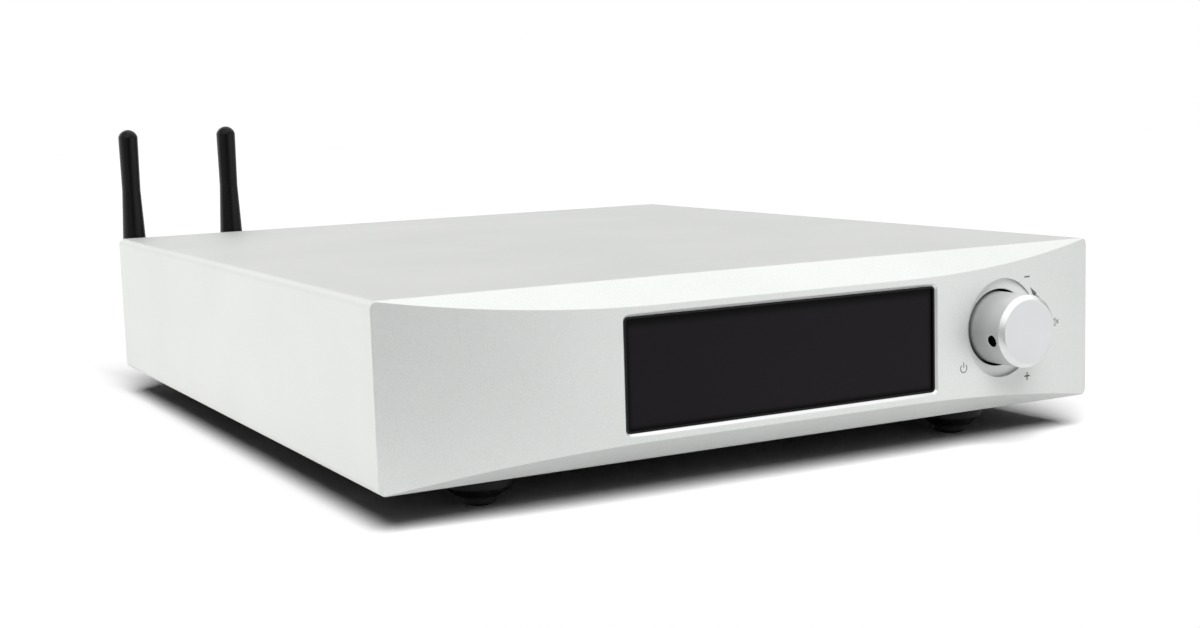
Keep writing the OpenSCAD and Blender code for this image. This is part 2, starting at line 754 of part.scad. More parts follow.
module display_module() {
    color("DarkSlateGray")
        translate([0, 0, mid_z]) along_y(display_front, display_back)
            rounded_rect(display_w, display_h, window_r);
}

module display_spacers() {
    color("Gold")
        for (place = spacers)
            translate([place[0], 0, place[1]]) rod_y(spacer_r, display_back, panel_t);
}

module front_frame() {
    frame_half = inner_half - slide_gap;
    foot_half = inner_half - rail_w - main_gap;
    slot_w = ribbon_w + 2 * header_margin;
    color("LightSteelBlue")
        difference() {
            union() {
                translate([-frame_half, panel_t, base_t])
                    cube([2 * frame_half, frame_t, inner_top - slide_gap - base_t]);
                translate([-foot_half, panel_t, base_t])
                    cube([2 * foot_half, frame_t + frame_foot, frame_t]);
            }
            translate([knob_x, 0, knob_z])
                along_y(panel_t - over, frame_back + over)
                    square(encoder_w + 2 * encoder_gap, center = true);
            translate([0, 0, mid_z])
                along_y(panel_t - over, frame_back + over)
                    square([slot_w, 2 * header_margin], center = true);
            for (place = panel_screw_places)
                translate([place[0], 0, place[1]]) rod_y(small_hole_r, panel_t - over, frame_back + over);
            for (place = frame_screw_places)
                translate([place[0], place[1], 0]) cylinder(r = small_hole_r, h = base_t + frame_t + over);
        }
}

module panel_screws() {
    color("DimGray")
        for (place = panel_screw_places)
            translate([place[0], frame_back, place[1]]) rotate([90, 0, 0]) pan_screw(frame_t + screw_grip);
}

module volume_knob() {
    color("Gainsboro")
        translate([knob_x, 0, knob_z])
            difference() {
                union() {
                    rod_y(knob_r, knob_front + knob_edge, knob_back);
                    translate([0, knob_front, 0])
                        rotate([-90, 0, 0]) cylinder(r1 = knob_r - knob_edge, r2 = knob_r, h = knob_edge);
                }
                rod_y(knob_r - knob_wall, hub_back, knob_back + over);
                rod_y(shaft_r + shaft_gap, shaft_front - shaft_gap, hub_back + over);
                set_screw_way() rod_x(set_screw_r + screw_gap, shaft_flat, knob_r + over);
            }
}

// Turns a radial rod to the set screw's place on the knob
module set_screw_way() {
    translate([0, knob_front + set_screw_in, 0]) rotate([0, 180 - set_screw_turn, 0]) children();
}

module knob_set_screw() {
    color("DimGray")
        translate([knob_x, 0, knob_z])
            set_screw_way()
                difference() {
                    rod_x(set_screw_r, shaft_flat, shaft_flat + set_screw_len);
                    translate([shaft_flat + set_screw_len / 2, 0, 0])
                        rotate([0, 90, 0]) cylinder(r = set_screw_r / 2, h = set_screw_len, $fn = hex);
                }
}

module encoder_shaft() {
    color("Silver")
        translate([knob_x, 0, knob_z])
            difference() {
                rod_y(shaft_r, shaft_front, plunger_front);
                rotate([0, 180 - set_screw_turn, 0])
                    translate([shaft_flat, shaft_front - over, -2 * shaft_r])
                        cube([shaft_r, hub_back - shaft_front + over, 4 * shaft_r]);
            }
}

module encoder_plunger() {
    color("Ivory")
        translate([knob_x, 0, knob_z])
            rod_y(encoder_w / 2 - encoder_wall - plunger_gap, plunger_front, plunger_front + plunger_t);
}

module encoder_body() {
    color("SlateGray")
        translate([knob_x, 0, knob_z])
            difference() {
                union() {
                    along_y(panel_t, panel_t + encoder_d) square(encoder_w, center = true);
                    rod_y(bush_r, bush_front, panel_t + over);
                }
                rod_y(shaft_r + shaft_gap, bush_front - over, chamber_front + over);
                rod_y(encoder_w / 2 - encoder_wall, chamber_front, panel_t + encoder_d - encoder_wall);
            }
}

module encoder_nut() {
    color("Gainsboro")
        translate([knob_x, 0, knob_z])
            difference() {
                translate([0, nut_front, 0])
                    rotate([-90, 0, 0]) cylinder(r = nut_half / cos(180 / hex), h = nut_t, $fn = hex);
                rod_y(bush_r + screw_gap, nut_front - over, knob_floor + over);
            }
}

module top_cover() {
    color("Silver")
        difference() {
            union() {
                along_y(panel_t, case_d)
                    difference() {
                        translate([0, mid_z]) rounded_rect(case_w, case_h, edge_r);
                        translate([-inner_half, -over]) square([2 * inner_half, inner_top + over]);
                    }
                along_y(frame_back, rear_front)
                    for (side = [0, 1], z = [base_t, inner_top - rail_h])
                        mirror([side, 0])
                            translate([inner_half - rail_w, z]) square([rail_w + cover_t / 2, rail_h]);
            }
            for (place = rear_screw_places)
                translate([place[0], 0, place[1]])
                    rod_y(small_hole_r, rear_front - screw_grip - screw_gap, rear_front + over);
            for (place = rail_screw_places)
                translate([place[0], place[1], base_t - over])
                    cylinder(r = small_hole_r, h = screw_grip + screw_gap + over);
        }
}

module vent_slot() {
    translate([-vent_w / 2, -(vent_len - vent_w) / 2]) square([vent_w, vent_len - vent_w]);
    for (s = [-1, 1])
        translate([0, s * (vent_len - vent_w) / 2]) circle(vent_w / 2);
}

module base_plate() {
    plate_half = inner_half - slide_gap;
    color("LightSlateGray")
        difference() {
            union() {
                translate([-plate_half, panel_t, 0]) cube([2 * plate_half, rear_front - panel_t, base_t]);
                for (place = foot_places)
                    translate([place[0], place[1], 0])
                        cylinder(r = foot_hole_r + foot_boss_wall, h = base_t + foot_boss_h);
            }
            for (place = concat(rail_screw_places, frame_screw_places))
                translate([place[0], place[1], 0]) sunk_hole(base_t + over);
            for (place = foot_places)
                translate([place[0], place[1], -over])
                    cylinder(r = foot_hole_r, h = base_t + foot_boss_h + 2 * over);
            for (i = [0:vent_count - 1])
                translate([power_mid + (i - (vent_count - 1) / 2) * vent_pitch, power_y + power_d / 2, -over])
                    linear_extrude(base_t + 2 * over) vent_slot();
        }
}

module base_screws() {
    color("DimGray") {
        for (place = rail_screw_places)
            translate([place[0], place[1], 0]) sunk_screw(base_t + screw_grip);
        for (place = frame_screw_places)
            translate([place[0], place[1], 0]) sunk_screw(base_t + frame_t + over);
    }
}

module rear_panel() {
    plate_half = inner_half - slide_gap;
    color("DarkSlateGray")
        difference() {
            translate([-plate_half, rear_front, 0]) cube([2 * plate_half, rear_t, inner_top - slide_gap]);
            for (place = concat(rear_screw_places, socket_screw_places))
                translate([place[0], rear_face, place[1]]) rotate([90, 0, 0]) sunk_hole(rear_t + over);
            for (x = antenna_xs)
                translate([x, 0, antenna_z]) rod_y(jack_r + screw_gap, rear_front - over, rear_face + over);
            socket_window(lan_x, lan_w, lan_h);
            socket_window(usb_x, usb_w, 2 * usb_h);
            socket_window(optical_x, optical_w, optical_w);
            translate([coax_x, 0, coax_z]) rod_y(coax_foot_r + socket_gap, rear_front - over, rear_face + over);
            translate([xlr_x, 0, mid_z]) rod_y(xlr_r + socket_gap, rear_front - over, rear_face + over);
            translate([inlet_x, 0, mid_z])
                along_y(rear_front - over, rear_face + over)
                    square([inlet_w + 2 * socket_gap, inlet_h + 2 * socket_gap], center = true);
            translate([switch_x, 0, mid_z])
                along_y(rear_front - over, rear_face + over)
                    square([switch_w + 2 * socket_gap, switch_h + 2 * socket_gap], center = true);
        }
}

// Window in the rear panel for a socket that stands on the main board
module socket_window(x, w, h) {
    translate([x - w / 2 - socket_gap, rear_front - over, board_top - socket_gap])
        cube([w + 2 * socket_gap, rear_t + 2 * over, h + 2 * socket_gap]);
}

module rear_screws() {
    color("DimGray")
        for (place = rear_screw_places)
            translate([place[0], rear_face, place[1]]) rotate([90, 0, 0]) sunk_screw(rear_t + screw_grip);
}

// Moulded cup of a foot, with a socket for its pad and a seat for its screw
module foot_cup(place) {
    color("Black")
        translate([place[0], place[1], 0])
            rotate_extrude()
                polygon([
                    [foot_hole_r, 0], [foot_r, 0], [foot_r, -foot_skirt], [foot_tip_r, -cup_h],
                    [pad_r + seat_gap, -cup_h], [pad_r + seat_gap, pad_top],
                    [foot_head_r + seat_gap, pad_top], [foot_head_r + seat_gap, head_top],
                    [foot_hole_r, head_top]]);
}

// Rubber pad of a foot, flat underneath with a round edge
module foot_pad(place) {
    color("DimGray")
        translate([place[0], place[1], 0])
            rotate_extrude()
                intersection() {
                    union() {
                        translate([0, pad_round - foot_h]) square([pad_r, pad_top + foot_h - pad_round]);
                        translate([0, -foot_h]) square([pad_r - pad_round, foot_h]);
                        translate([pad_r - pad_round, pad_round - foot_h]) circle(pad_round);
                    }
                    translate([0, -foot_h]) square([pad_r, pad_top + foot_h]);
                }
}

module foot_screws() {
    color("Gray")
        for (place = foot_places)
            translate([place[0], place[1], 0]) {
                translate([0, 0, pad_top]) cylinder(r = foot_head_r, h = foot_head_h);
                translate([0, 0, pad_top]) cylinder(r = foot_screw_r, h = base_t + foot_boss_h - pad_top);
            }
}

module board_blank(x, y, w, d) {
    difference() {
        translate([x, y, board_z]) cube([w, d, board_t]);
        for (place = corners(x, y, w, d))
            translate([place[0], place[1], board_z - over])
                cylinder(r = small_hole_r, h = board_t + 2 * over);
    }
}

module main_board() {
    head_w = ribbon_w + 2 * header_margin;
    color("DarkGreen") {
        board_blank(main_x, main_y, main_w, main_d);
        translate([-head_w / 2, header_y, board_z]) cube([head_w, header_d, board_t + header_h]);
        for (i = [0:3])
            translate([usb_x + i * optical_w * 2, main_y + main_d - lan_d - 2 * optical_w, board_z])
                cube([optical_w, optical_w, board_t + chip_h]);
    }
}

module processor_module() {
    color("SeaGreen") {
        for (y = [module_y, module_y + module_d - header_d])
            translate([module_x, y, board_top]) cube([module_w, header_d, strip_h]);
        translate([module_x, module_y, board_top + strip_h]) cube([module_w, module_d, board_t]);
        translate([module_x + module_w / 2, module_y + module_d / 2, board_top + strip_h])
            linear_extrude(board_t + chip_h) square(chip_w, center = true);
    }
}

module heat_sink() {
    step = (sink_w - sink_t) / (sink_fins - 1);
    color("Black")
        translate([module_x + (module_w - sink_w) / 2, module_y + (module_d - sink_w) / 2, sink_z]) {
            cube([sink_w, sink_w, sink_t]);
            for (i = [0:sink_fins - 1])
                translate([i * step, 0, 0]) cube([sink_t, sink_w, sink_h]);
        }
}

module wifi_module() {
    color("MidnightBlue") {
        translate([wifi_x - wifi_w / 2, wifi_y - wifi_d / 2, board_top]) cube([wifi_w, wifi_d, board_t]);
        translate([wifi_x - wifi_w / 2 + over, wifi_y - wifi_d / 2 + over, board_top])
            cube([wifi_w - 2 * over, wifi_d / 2, board_t + wifi_can_h]);
    }
}

module power_board() {
    color("DarkOliveGreen") {
        board_blank(power_x, power_y, power_w, power_d);
        translate([power_mid - pin_pitch - header_d, power_y + power_d - header_d, board_z])
            cube([2 * pin_pitch + 2 * header_d, header_d, board_t + header_h]);
        translate([power_x, power_y + power_d / 2, board_z]) cube([header_d, header_d, board_t + header_h]);
    }
}

module power_transformer() {
    color("DarkGoldenrod")
        translate([power_mid, power_y + power_d * 2 / 3, board_top]) {
            for (s = [-1, 1])
                translate([-core_w / 2, s * winding_r / 2 - core_d / 2, 0])
                    cube([core_w, core_d, core_t()]);
            translate([0, 0, core_t()]) cylinder(r = winding_r, h = core_h - 2 * core_t());
            for (s = [-1, 1])
                translate([-core_w / 2, s * winding_r / 2 - core_d / 2, core_h - core_t()])
                    cube([core_w, core_d, core_t()]);
        }
}
function core_t() = core_h / 5;

module power_capacitors() {
    step = 2 * can_r + over;
    color("SteelBlue")
        for (i = [0:can_count - 1])
            translate([power_mid + (i - (can_count - 1) / 2) * step, power_y + power_d / 4, board_top])
                cylinder(r = can_r, h = can_h);
}

module board_standoffs() {
    color("Gold")
        for (place = board_corners)
            translate([place[0], place[1], base_t])
                difference() {
                    cylinder(r = standoff_r, h = standoff_h, $fn = hex);
                    translate([0, 0, standoff_h - screw_grip - screw_gap])
                        cylinder(r = small_hole_r, h = standoff_h);
                }
}

module board_screws() {
    color("DimGray")
        for (place = board_corners)
            translate([place[0], place[1], board_top]) mirror([0, 0, 1]) pan_screw(board_t + screw_grip);
}

// Flat ribbon from the display, through the front frame, along the base and up to its header
module display_ribbon() {
    floor_z = base_t + ribbon_t;
    plug_z = board_top + header_h / 2;
    route = [
        [display_back, mid_z], [frame_back + header_d, mid_z], [frame_back + 2 * frame_foot, floor_z],
        [main_y - 3 * header_d, floor_z], [main_y - header_d / 2, plug_z], [header_y, plug_z]];
    lift = [0, ribbon_t / 2];
    color("LightGray")
        along_x(-ribbon_w / 2, ribbon_w / 2)
            polygon(concat([for (p = route) p + lift], [for (i = [len(route) - 1:-1:0]) route[i] - lift]));
}

module encoder_lead() {
    start = [knob_x, panel_t + encoder_d, knob_z];
    finish = [ribbon_w / 2 + header_margin, header_y + header_d / 2, board_top + header_h / 2];
    color("DarkRed")
        lead([start, start + [0, 40, 0], finish + [20, 0, 0], finish], 1.2, [0, 0, 1]);
}

module wifi_pigtails() {
    color("Black")
        for (x = antenna_xs) {
            start = [wifi_x + sign(x - wifi_x) * wifi_w / 4, wifi_y + wifi_d / 4, wifi_top];
            finish = [x, rear_front - jack_in, antenna_z];
            lead([start, start + [0, 0, 18], finish - [0, 22, 0], finish], 0.8, [1, 0, 0]);
        }
}

module power_leads() {
    row = power_y + power_d;
    head = board_top + header_h / 2;
    tag_y = rear_face - inlet_d - tag_len;
    color("SaddleBrown") {
        for (s = [-1, 1]) {
            start = [inlet_x + s * pin_pitch, tag_y, mid_z - pin_rise];
            finish = [power_mid + s * pin_pitch, row, head];
            lead([start, start - [0, 8, 0], finish + [0, 8, 0], finish], 1.1, [1, 0, 0]);
        }
        back = [switch_x, rear_face - switch_d, mid_z];
        block = [power_mid - pin_pitch - header_d / 2, row, head];
        lead([back, back - [0, 14, 0], block + [0, 12, 0], block], 1.1, [1, 0, 0]);
        tap = [power_x, power_y + power_d / 2 + header_d / 2, head];
        plug = [main_x + main_w - header_d, tap[1], board_top];
        lead([tap, tap - [5, 0, 0], plug + [0, 0, 12], plug], 1.1, [0, 1, 0]);
    }
}

module mains_inlet() {
    color("Black")
        translate([inlet_x, 0, mid_z])
            difference() {
                union() {
                    along_y(rear_face, flange_face)
                        rounded_rect(inlet_flange_w, inlet_flange_h, 2 * edge_r);
                    along_y(rear_face - inlet_d, rear_face + over)
                        square([inlet_w, inlet_h], center = true);
                }
                along_y(inlet_floor, flange_face + over) cut_rect(mouth_w, mouth_h, mouth_cut);
                for (pin = pin_places)
                    translate([pin[0], 0, pin[1]])
                        along_y(rear_face - inlet_d - over, inlet_floor + over)
                            square([pin_w, pin_h], center = true);
                for (s = [-1, 1])
                    translate([s * inlet_screw_x, flange_face, 0]) rotate([90, 0, 0])
                        sunk_hole(flange_t + over);
            }
}

module inlet_pins() {
    color("Gainsboro")
        for (pin = pin_places)
            translate([inlet_x + pin[0], 0, mid_z + pin[1]])
                along_y(rear_face - inlet_d - tag_len, inlet_floor + pin_len)
                    square([pin_w, pin_h], center = true);
}

module switch_frame() {
    chamber_w = switch_w - 2 * switch_wall;
    color("Black")
        translate([switch_x, 0, mid_z])
            difference() {
                union() {
                    along_y(rear_face, rear_face + switch_flange_t)
                        rounded_rect(switch_flange_w, switch_flange_h, switch_wall);
                    along_y(rear_face - switch_d, rear_face + over)
                        square([switch_w, switch_h], center = true);
                }
                along_y(pivot_y - rocker_keel - 2 * switch_wall, rear_face + switch_flange_t + over)
                    square([chamber_w, chamber_h], center = true);
                translate([0, pivot_y, 0]) rod_x(pivot_r + pivot_gap, -switch_w, switch_w);
            }
}

// Rocker with two faces that meet in a shallow valley, tipped to its off side
module switch_rocker() {
    end_rise = rocker_rise + rocker_half * tan(rocker_tilt);
    color("Black")
        translate([switch_x, pivot_y, mid_z])
            rotate([-rocker_tilt, 0, 0]) {
                along_x(-rocker_w / 2, rocker_w / 2)
                    polygon([
                        [end_rise, -rocker_half], [rocker_rise, 0], [end_rise, rocker_half],
                        [-pivot_r, rocker_half], [-rocker_keel, keel_half],
                        [-rocker_keel, -keel_half], [-pivot_r, -rocker_half]]);
                rod_x(pivot_r, -switch_w / 2, switch_w / 2);
            }
}

module lan_socket() {
    mouth_z = lan_h - lan_mouth_h - switch_wall;
    color("Silver")
        translate([lan_x, 0, board_top])
            difference() {
                translate([-lan_w / 2, socket_face - lan_d, 0]) cube([lan_w, lan_d, lan_h]);
                translate([-lan_mouth_w / 2, socket_face - lan_mouth_d, mouth_z])
                    cube([lan_mouth_w, lan_mouth_d + over, lan_mouth_h]);
                translate([-lan_notch_w / 2, socket_face - lan_mouth_d, mouth_z - lan_notch_h])
                    cube([lan_notch_w, lan_mouth_d + over, lan_notch_h + over]);
            }
}

module usb_socket() {
    tongue_w = usb_mouth_w - 2 * switch_wall;
    color("Silver")
        translate([usb_x, socket_face, board_top])
            difference() {
                translate([-usb_w / 2, -usb_d, 0]) cube([usb_w, usb_d, 2 * usb_h]);
                for (i = [0, 1])
                    translate([0, 0, (i + 0.5) * usb_h])
                        difference() {
                            translate([-usb_mouth_w / 2, -usb_mouth_d, -usb_mouth_h / 2])
                                cube([usb_mouth_w, usb_mouth_d + over, usb_mouth_h]);
                            translate([-tongue_w / 2, -usb_mouth_d - over, 0])
                                cube([tongue_w, usb_mouth_d, usb_tongue_t]);
                        }
            }
}

module optical_socket() {
    color("Black")
        translate([optical_x, 0, optical_z])
            difference() {
                along_y(socket_face - optical_d, socket_face) square(optical_w, center = true);
                along_y(socket_face - optical_mouth_d, socket_face + over)
                    cut_rect(optical_mouth, optical_mouth, optical_cut);
                rod_y(optical_eye_r, socket_face - optical_mouth_d - 2 * over, socket_face);
            }
}

module coax_socket() {
    color("Gold")
        translate([coax_x, 0, coax_z])
            difference() {
                union() {
                    along_y(rear_front - coax_block_d, rear_front) square(coax_block, center = true);
                    rod_y(coax_foot_r, rear_front - over, rear_face);
                    rod_y(coax_r, rear_front - over, rear_face + coax_len);
                }
                rod_y(coax_hole_r, rear_face + coax_len - coax_hole_d, rear_face + coax_len + over);
            }
}

module xlr_socket() {
    color("DimGray")
        translate([xlr_x, 0, mid_z]) {
            difference() {
                union() {
                    along_y(rear_face, flange_face) rounded_rect(xlr_flange_w, xlr_flange_h, edge_r);
                    rod_y(xlr_r, rear_face - xlr_d, rear_face + over);
                }
                rod_y(xlr_mouth_r, xlr_floor, flange_face + over);
                for (s = [-1, 1])
                    translate([s * xlr_screw_x, flange_face, -s * xlr_screw_z])
                        rotate([90, 0, 0]) sunk_hole(flange_t + over);
            }
            for (turn = [30, 150, 270])
                rotate([0, turn, 0])
                    translate([xlr_pin_circle, 0, 0])
                        rod_y(xlr_pin_r, xlr_floor - over, xlr_floor + xlr_pin_len);
        }
}

module socket_screws() {
    color("DimGray")
        for (place = socket_screw_places)
            translate([place[0], flange_face, place[1]]) rotate([90, 0, 0])
                sunk_screw(flange_t + rear_t + over);
}

module antenna_jacks() {
    color("Goldenrod")
        for (x = antenna_xs)
            translate([x, 0, antenna_z]) {
                rod_y(jack_r, rear_front - jack_in, rear_face + jack_nut_t + jack_out);
                translate([0, rear_front - jack_nut_t, 0])
                    rotate([-90, 0, 0]) cylinder(r = jack_hex_r, h = jack_nut_t, $fn = hex);
            }
}

module antenna_nuts() {
    color("Gold")
        for (x = antenna_xs)
            translate([x, 0, antenna_z])
                difference() {
                    translate([0, rear_face, 0])
                        rotate([-90, 0, 0]) cylinder(r = jack_hex_r, h = jack_nut_t, $fn = hex);
                    rod_y(jack_r + screw_gap, rear_face - over, rear_face + jack_nut_t + over);
                }
}

module antenna_collars() {
    color("Black")
        for (x = antenna_xs)
            translate([x, 0, antenna_z])
                difference() {
                    union() {
                        rod_y(elbow_r, rear_face + jack_nut_t, collar_back);
                        rod_y(neck_r, collar_back - over, neck_back);
                    }
                    rod_y(jack_r + screw_gap, rear_face, rear_face + jack_nut_t + jack_out + swivel_gap);
                }
}

// Fork that turns on the collar's neck and holds the hinge pin
module antenna_elbow(x) {
    color("Black")
        translate([x, 0, antenna_z])
            difference() {
                intersection() {
                    rod_y(elbow_r, elbow_front, hinge_y + elbow_r);
                    union() {
                        translate([0, hinge_y, 0]) rod_x(elbow_r, -elbow_r, elbow_r);
                        translate([-elbow_r, elbow_front, -elbow_r])
                            cube([2 * elbow_r, hinge_y - elbow_front, 2 * elbow_r]);
                    }
                }
                rod_y(neck_r + turn_gap, elbow_front - over, neck_back + swivel_gap);
                translate([-tongue_t / 2 - swivel_gap, elbow_back, -2 * elbow_r])
                    cube([tongue_t + 2 * swivel_gap, 2 * hinge_y, 4 * elbow_r]);
                translate([0, hinge_y, 0]) rod_x(hinge_pin_r + turn_gap, -2 * elbow_r, 2 * elbow_r);
            }
}

module antenna_pin(x) {
    pin_half = elbow_r - mast_gap;
    color("Silver")
        translate([x, hinge_y, antenna_z]) rod_x(hinge_pin_r, -pin_half, pin_half);
}

// Mast of an antenna: a tongue on the hinge, a taper, a straight stem and a domed cap under a ridge
module antenna_mast(x) {
    cap_r = (mast_tip_r * mast_tip_r + mast_cap * mast_cap) / (2 * mast_cap);
    color("Black")
        translate([x, hinge_y, antenna_z])
            difference() {
                union() {
                    along_x(-tongue_t / 2, tongue_t / 2) {
                        circle(tongue_r);
                        translate([-tongue_r, 0]) square([2 * tongue_r, mast_foot + over]);
                    }
                    rotate_extrude() {
                        polygon([
                            [0, mast_foot], [mast_foot_r, mast_foot], [mast_r, mast_taper],
                            [mast_tip_r, mast_len - mast_cap], [0, mast_len - mast_cap]]);
                        intersection() {
                            translate([0, mast_len - cap_r]) circle(cap_r);
                            translate([0, mast_len - mast_cap]) square([mast_tip_r, mast_cap]);
                        }
                    }
                }
                rod_x(hinge_pin_r + turn_gap, -2 * tongue_t, 2 * tongue_t);
            }
}

placed() front_panel();
placed() display_bezel();
placed() display_lens();
placed() display_module();
placed() display_spacers();
placed() front_frame();
placed() panel_screws();
placed() volume_knob();
placed() knob_set_screw();
placed() encoder_shaft();
placed() encoder_plunger();
placed() encoder_body();
placed() encoder_nut();
placed() top_cover();
placed() base_plate();
placed() rear_panel();
placed() base_screws();
placed() rear_screws();
placed() foot_cup(foot_places[0]);  // foot_front_left
placed() foot_cup(foot_places[1]);  // foot_front_right
placed() foot_cup(foot_places[2]);  // foot_rear_left
placed() foot_cup(foot_places[3]);  // foot_rear_right
placed() foot_pad(foot_places[0]);  // pad_front_left
placed() foot_pad(foot_places[1]);  // pad_front_right
placed() foot_pad(foot_places[2]);  // pad_rear_left
placed() foot_pad(foot_places[3]);  // pad_rear_right
placed() foot_screws();
placed() main_board();
placed() processor_module();
placed() heat_sink();
placed() wifi_module();
placed() power_board();
placed() power_transformer();
placed() power_capacitors();
placed() board_standoffs();
placed() board_screws();
placed() display_ribbon();
placed() encoder_lead();
placed() wifi_pigtails();
placed() power_leads();
placed() mains_inlet();
placed() inlet_pins();
placed() switch_frame();
placed() switch_rocker();
placed() lan_socket();
placed() usb_socket();
placed() optical_socket();
placed() coax_socket();
placed() xlr_socket();
placed() socket_screws();
placed() antenna_jacks();
placed() antenna_nuts();
placed() antenna_collars();
placed() antenna_elbow(left_antenna_x);  // antenna_left_elbow
placed() antenna_pin(left_antenna_x);  // antenna_left_pin
placed() antenna_mast(left_antenna_x);  // antenna_left_mast
placed() antenna_elbow(right_antenna_x);  // antenna_right_elbow
placed() antenna_pin(right_antenna_x);  // antenna_right_pin
placed() antenna_mast(right_antenna_x);  // antenna_right_mast
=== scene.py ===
import json
import math
import bmesh
import bpy
import numpy as np
from mathutils import Matrix, Vector
from mathutils.geometry import tessellate_polygon


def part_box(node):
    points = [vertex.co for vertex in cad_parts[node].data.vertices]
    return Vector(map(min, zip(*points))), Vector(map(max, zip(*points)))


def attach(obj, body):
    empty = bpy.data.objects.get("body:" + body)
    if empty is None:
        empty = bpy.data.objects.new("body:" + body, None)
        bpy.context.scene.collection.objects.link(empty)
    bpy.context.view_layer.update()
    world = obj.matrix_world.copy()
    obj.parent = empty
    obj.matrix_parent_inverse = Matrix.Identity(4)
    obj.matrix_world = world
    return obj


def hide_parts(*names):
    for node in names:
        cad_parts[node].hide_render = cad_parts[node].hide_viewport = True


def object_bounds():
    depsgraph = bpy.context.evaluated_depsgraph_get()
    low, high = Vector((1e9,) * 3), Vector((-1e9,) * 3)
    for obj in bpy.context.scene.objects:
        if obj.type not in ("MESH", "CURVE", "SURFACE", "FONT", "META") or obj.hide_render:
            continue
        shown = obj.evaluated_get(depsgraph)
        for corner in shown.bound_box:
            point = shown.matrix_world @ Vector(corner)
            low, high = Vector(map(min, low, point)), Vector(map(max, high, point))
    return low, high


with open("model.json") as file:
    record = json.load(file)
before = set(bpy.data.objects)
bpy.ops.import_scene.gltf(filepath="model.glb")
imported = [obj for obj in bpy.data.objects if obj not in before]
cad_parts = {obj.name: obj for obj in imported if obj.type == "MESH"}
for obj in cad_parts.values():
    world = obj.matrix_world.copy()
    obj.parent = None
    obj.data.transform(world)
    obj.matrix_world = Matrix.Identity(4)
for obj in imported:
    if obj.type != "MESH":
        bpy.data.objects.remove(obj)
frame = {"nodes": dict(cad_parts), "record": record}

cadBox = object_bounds()
nodes = frame["nodes"]

# millimetres of the case: x from the middle, y from the panel's corners back, z from the case's underside
panelDepth = 6.0
caseShift = np.array([0.0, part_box("front_panel")[1].y * 1000 - panelDepth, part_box("top_cover")[0].z * 1000])


def toFrame(points):
    # case millimetres to the frame's metres: add the shift, divide by a thousand
    return (np.asarray(points, float) + caseShift) / 1000


def nodeBox(name):
    # a node's corners in case millimetres
    low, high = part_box(name)
    return np.array(low) * 1000 - caseShift, np.array(high) * 1000 - caseShift


def gridQuads(rows, columns, closed=False):
    # corner numbers of the quads between neighbouring rows and columns; closed joins the last column to the first
    row = np.arange(rows - 1)[:, None] * columns
    column = np.arange(columns if closed else columns - 1)[None, :]
    following = (column + 1) % columns
    corners = [row + column, row + following, row + columns + following, row + columns + column]
    return np.stack(corners, -1).reshape(-1, 4)


def loopStack(loops):
    # closed loops of the same count, each joined to the next by quads
    points = np.stack(loops)
    return points.reshape(-1, 3), gridQuads(len(loops), points.shape[1], True)


def turnedAbout(profile, centre, axis, segments=96):
    # pairs of radius and place along the axis, carried once round it
    radius, along = np.asarray(profile, float).T
    turn = np.arange(segments) * 2 * np.pi / segments
    points = np.zeros((len(radius), segments, 3))
    across = [i for i in range(3) if i != axis]
    points[..., across[0]] = radius[:, None] * np.cos(turn)
    points[..., across[1]] = radius[:, None] * np.sin(turn)
    points[..., axis] = along[:, None]
    return (points + np.asarray(centre)).reshape(-1, 3), gridQuads(len(radius), segments, True)


def flatCap(outer, holes=()):
    # triangles that fill a loop, less the loops of its holes, on the loops' own points
    loops = [[Vector(p) for p in loop] for loop in (outer, *holes)]
    return np.concatenate([outer, *holes]), np.array(tessellate_polygon(loops))


def nearestRim(px, pz, halfW, halfH, radius):
    # nearest point of a rounded rectangle's rim: clamp to the rectangle of corner centres, step one radius outwards
    cx = np.clip(px, radius - halfW, halfW - radius)
    cz = np.clip(pz, radius - halfH, halfH - radius)
    length = np.maximum(np.hypot(px - cx, pz - cz), 1e-9)
    return cx + radius * (px - cx) / length, cz + radius * (pz - cz) / length


def softCorner(start, corner, end, share):
    # quadratic arc from start to end, drawn towards the corner between them
    return (1 - share) ** 2 * start + 2 * share * (1 - share) * corner + share ** 2 * end


# metres within which two points are one, and below which an edge has no length
weld = {"doubles": 2e-6, "degenerate": 1e-7}


def buildPiece(name, patches, finish, body, replaced=(), sharpAngle=34):
    # patches are points in case millimetres with their faces, and their finish where it isn't the piece's own;
    # doubles are merged, normals turned outwards
    points, faces, numbers, finishes, count = [], [], [], [finish], 0
    for corners, polygons, *other in patches:
        own = other[0] if other else finish
        if own not in finishes:
            finishes.append(own)
        points.append(np.reshape(corners, (-1, 3)))
        faces.extend((np.asarray(polygons) + count).tolist())
        numbers.extend([finishes.index(own)] * len(polygons))
        count += len(points[-1])
    mesh = bpy.data.meshes.new(name)
    mesh.from_pydata(toFrame(np.concatenate(points)).tolist(), [], faces)
    mesh.polygons.foreach_set("material_index", numbers)
    work = bmesh.new()
    work.from_mesh(mesh)
    bmesh.ops.remove_doubles(work, verts=work.verts, dist=weld["doubles"])
    bmesh.ops.dissolve_degenerate(work, edges=work.edges, dist=weld["degenerate"])
    bmesh.ops.recalc_face_normals(work, faces=work.faces)
    work.to_mesh(mesh)
    openEdges = sum(not edge.is_manifold for edge in work.edges)
    work.free()
    for own in finishes:
        mesh.materials.append(own)
    mesh.shade_smooth()
    mesh.set_sharp_from_angle(angle=math.radians(sharpAngle))
    piece = bpy.data.objects.new(name, mesh)
    bpy.context.scene.collection.objects.link(piece)
    weighted = piece.modifiers.new("faceWeights", "WEIGHTED_NORMAL")
    weighted.keep_sharp = True
    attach(piece, body)
    if replaced:
        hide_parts(*replaced)
    print("piece", name, len(mesh.polygons), "faces, open edges", openEdges)


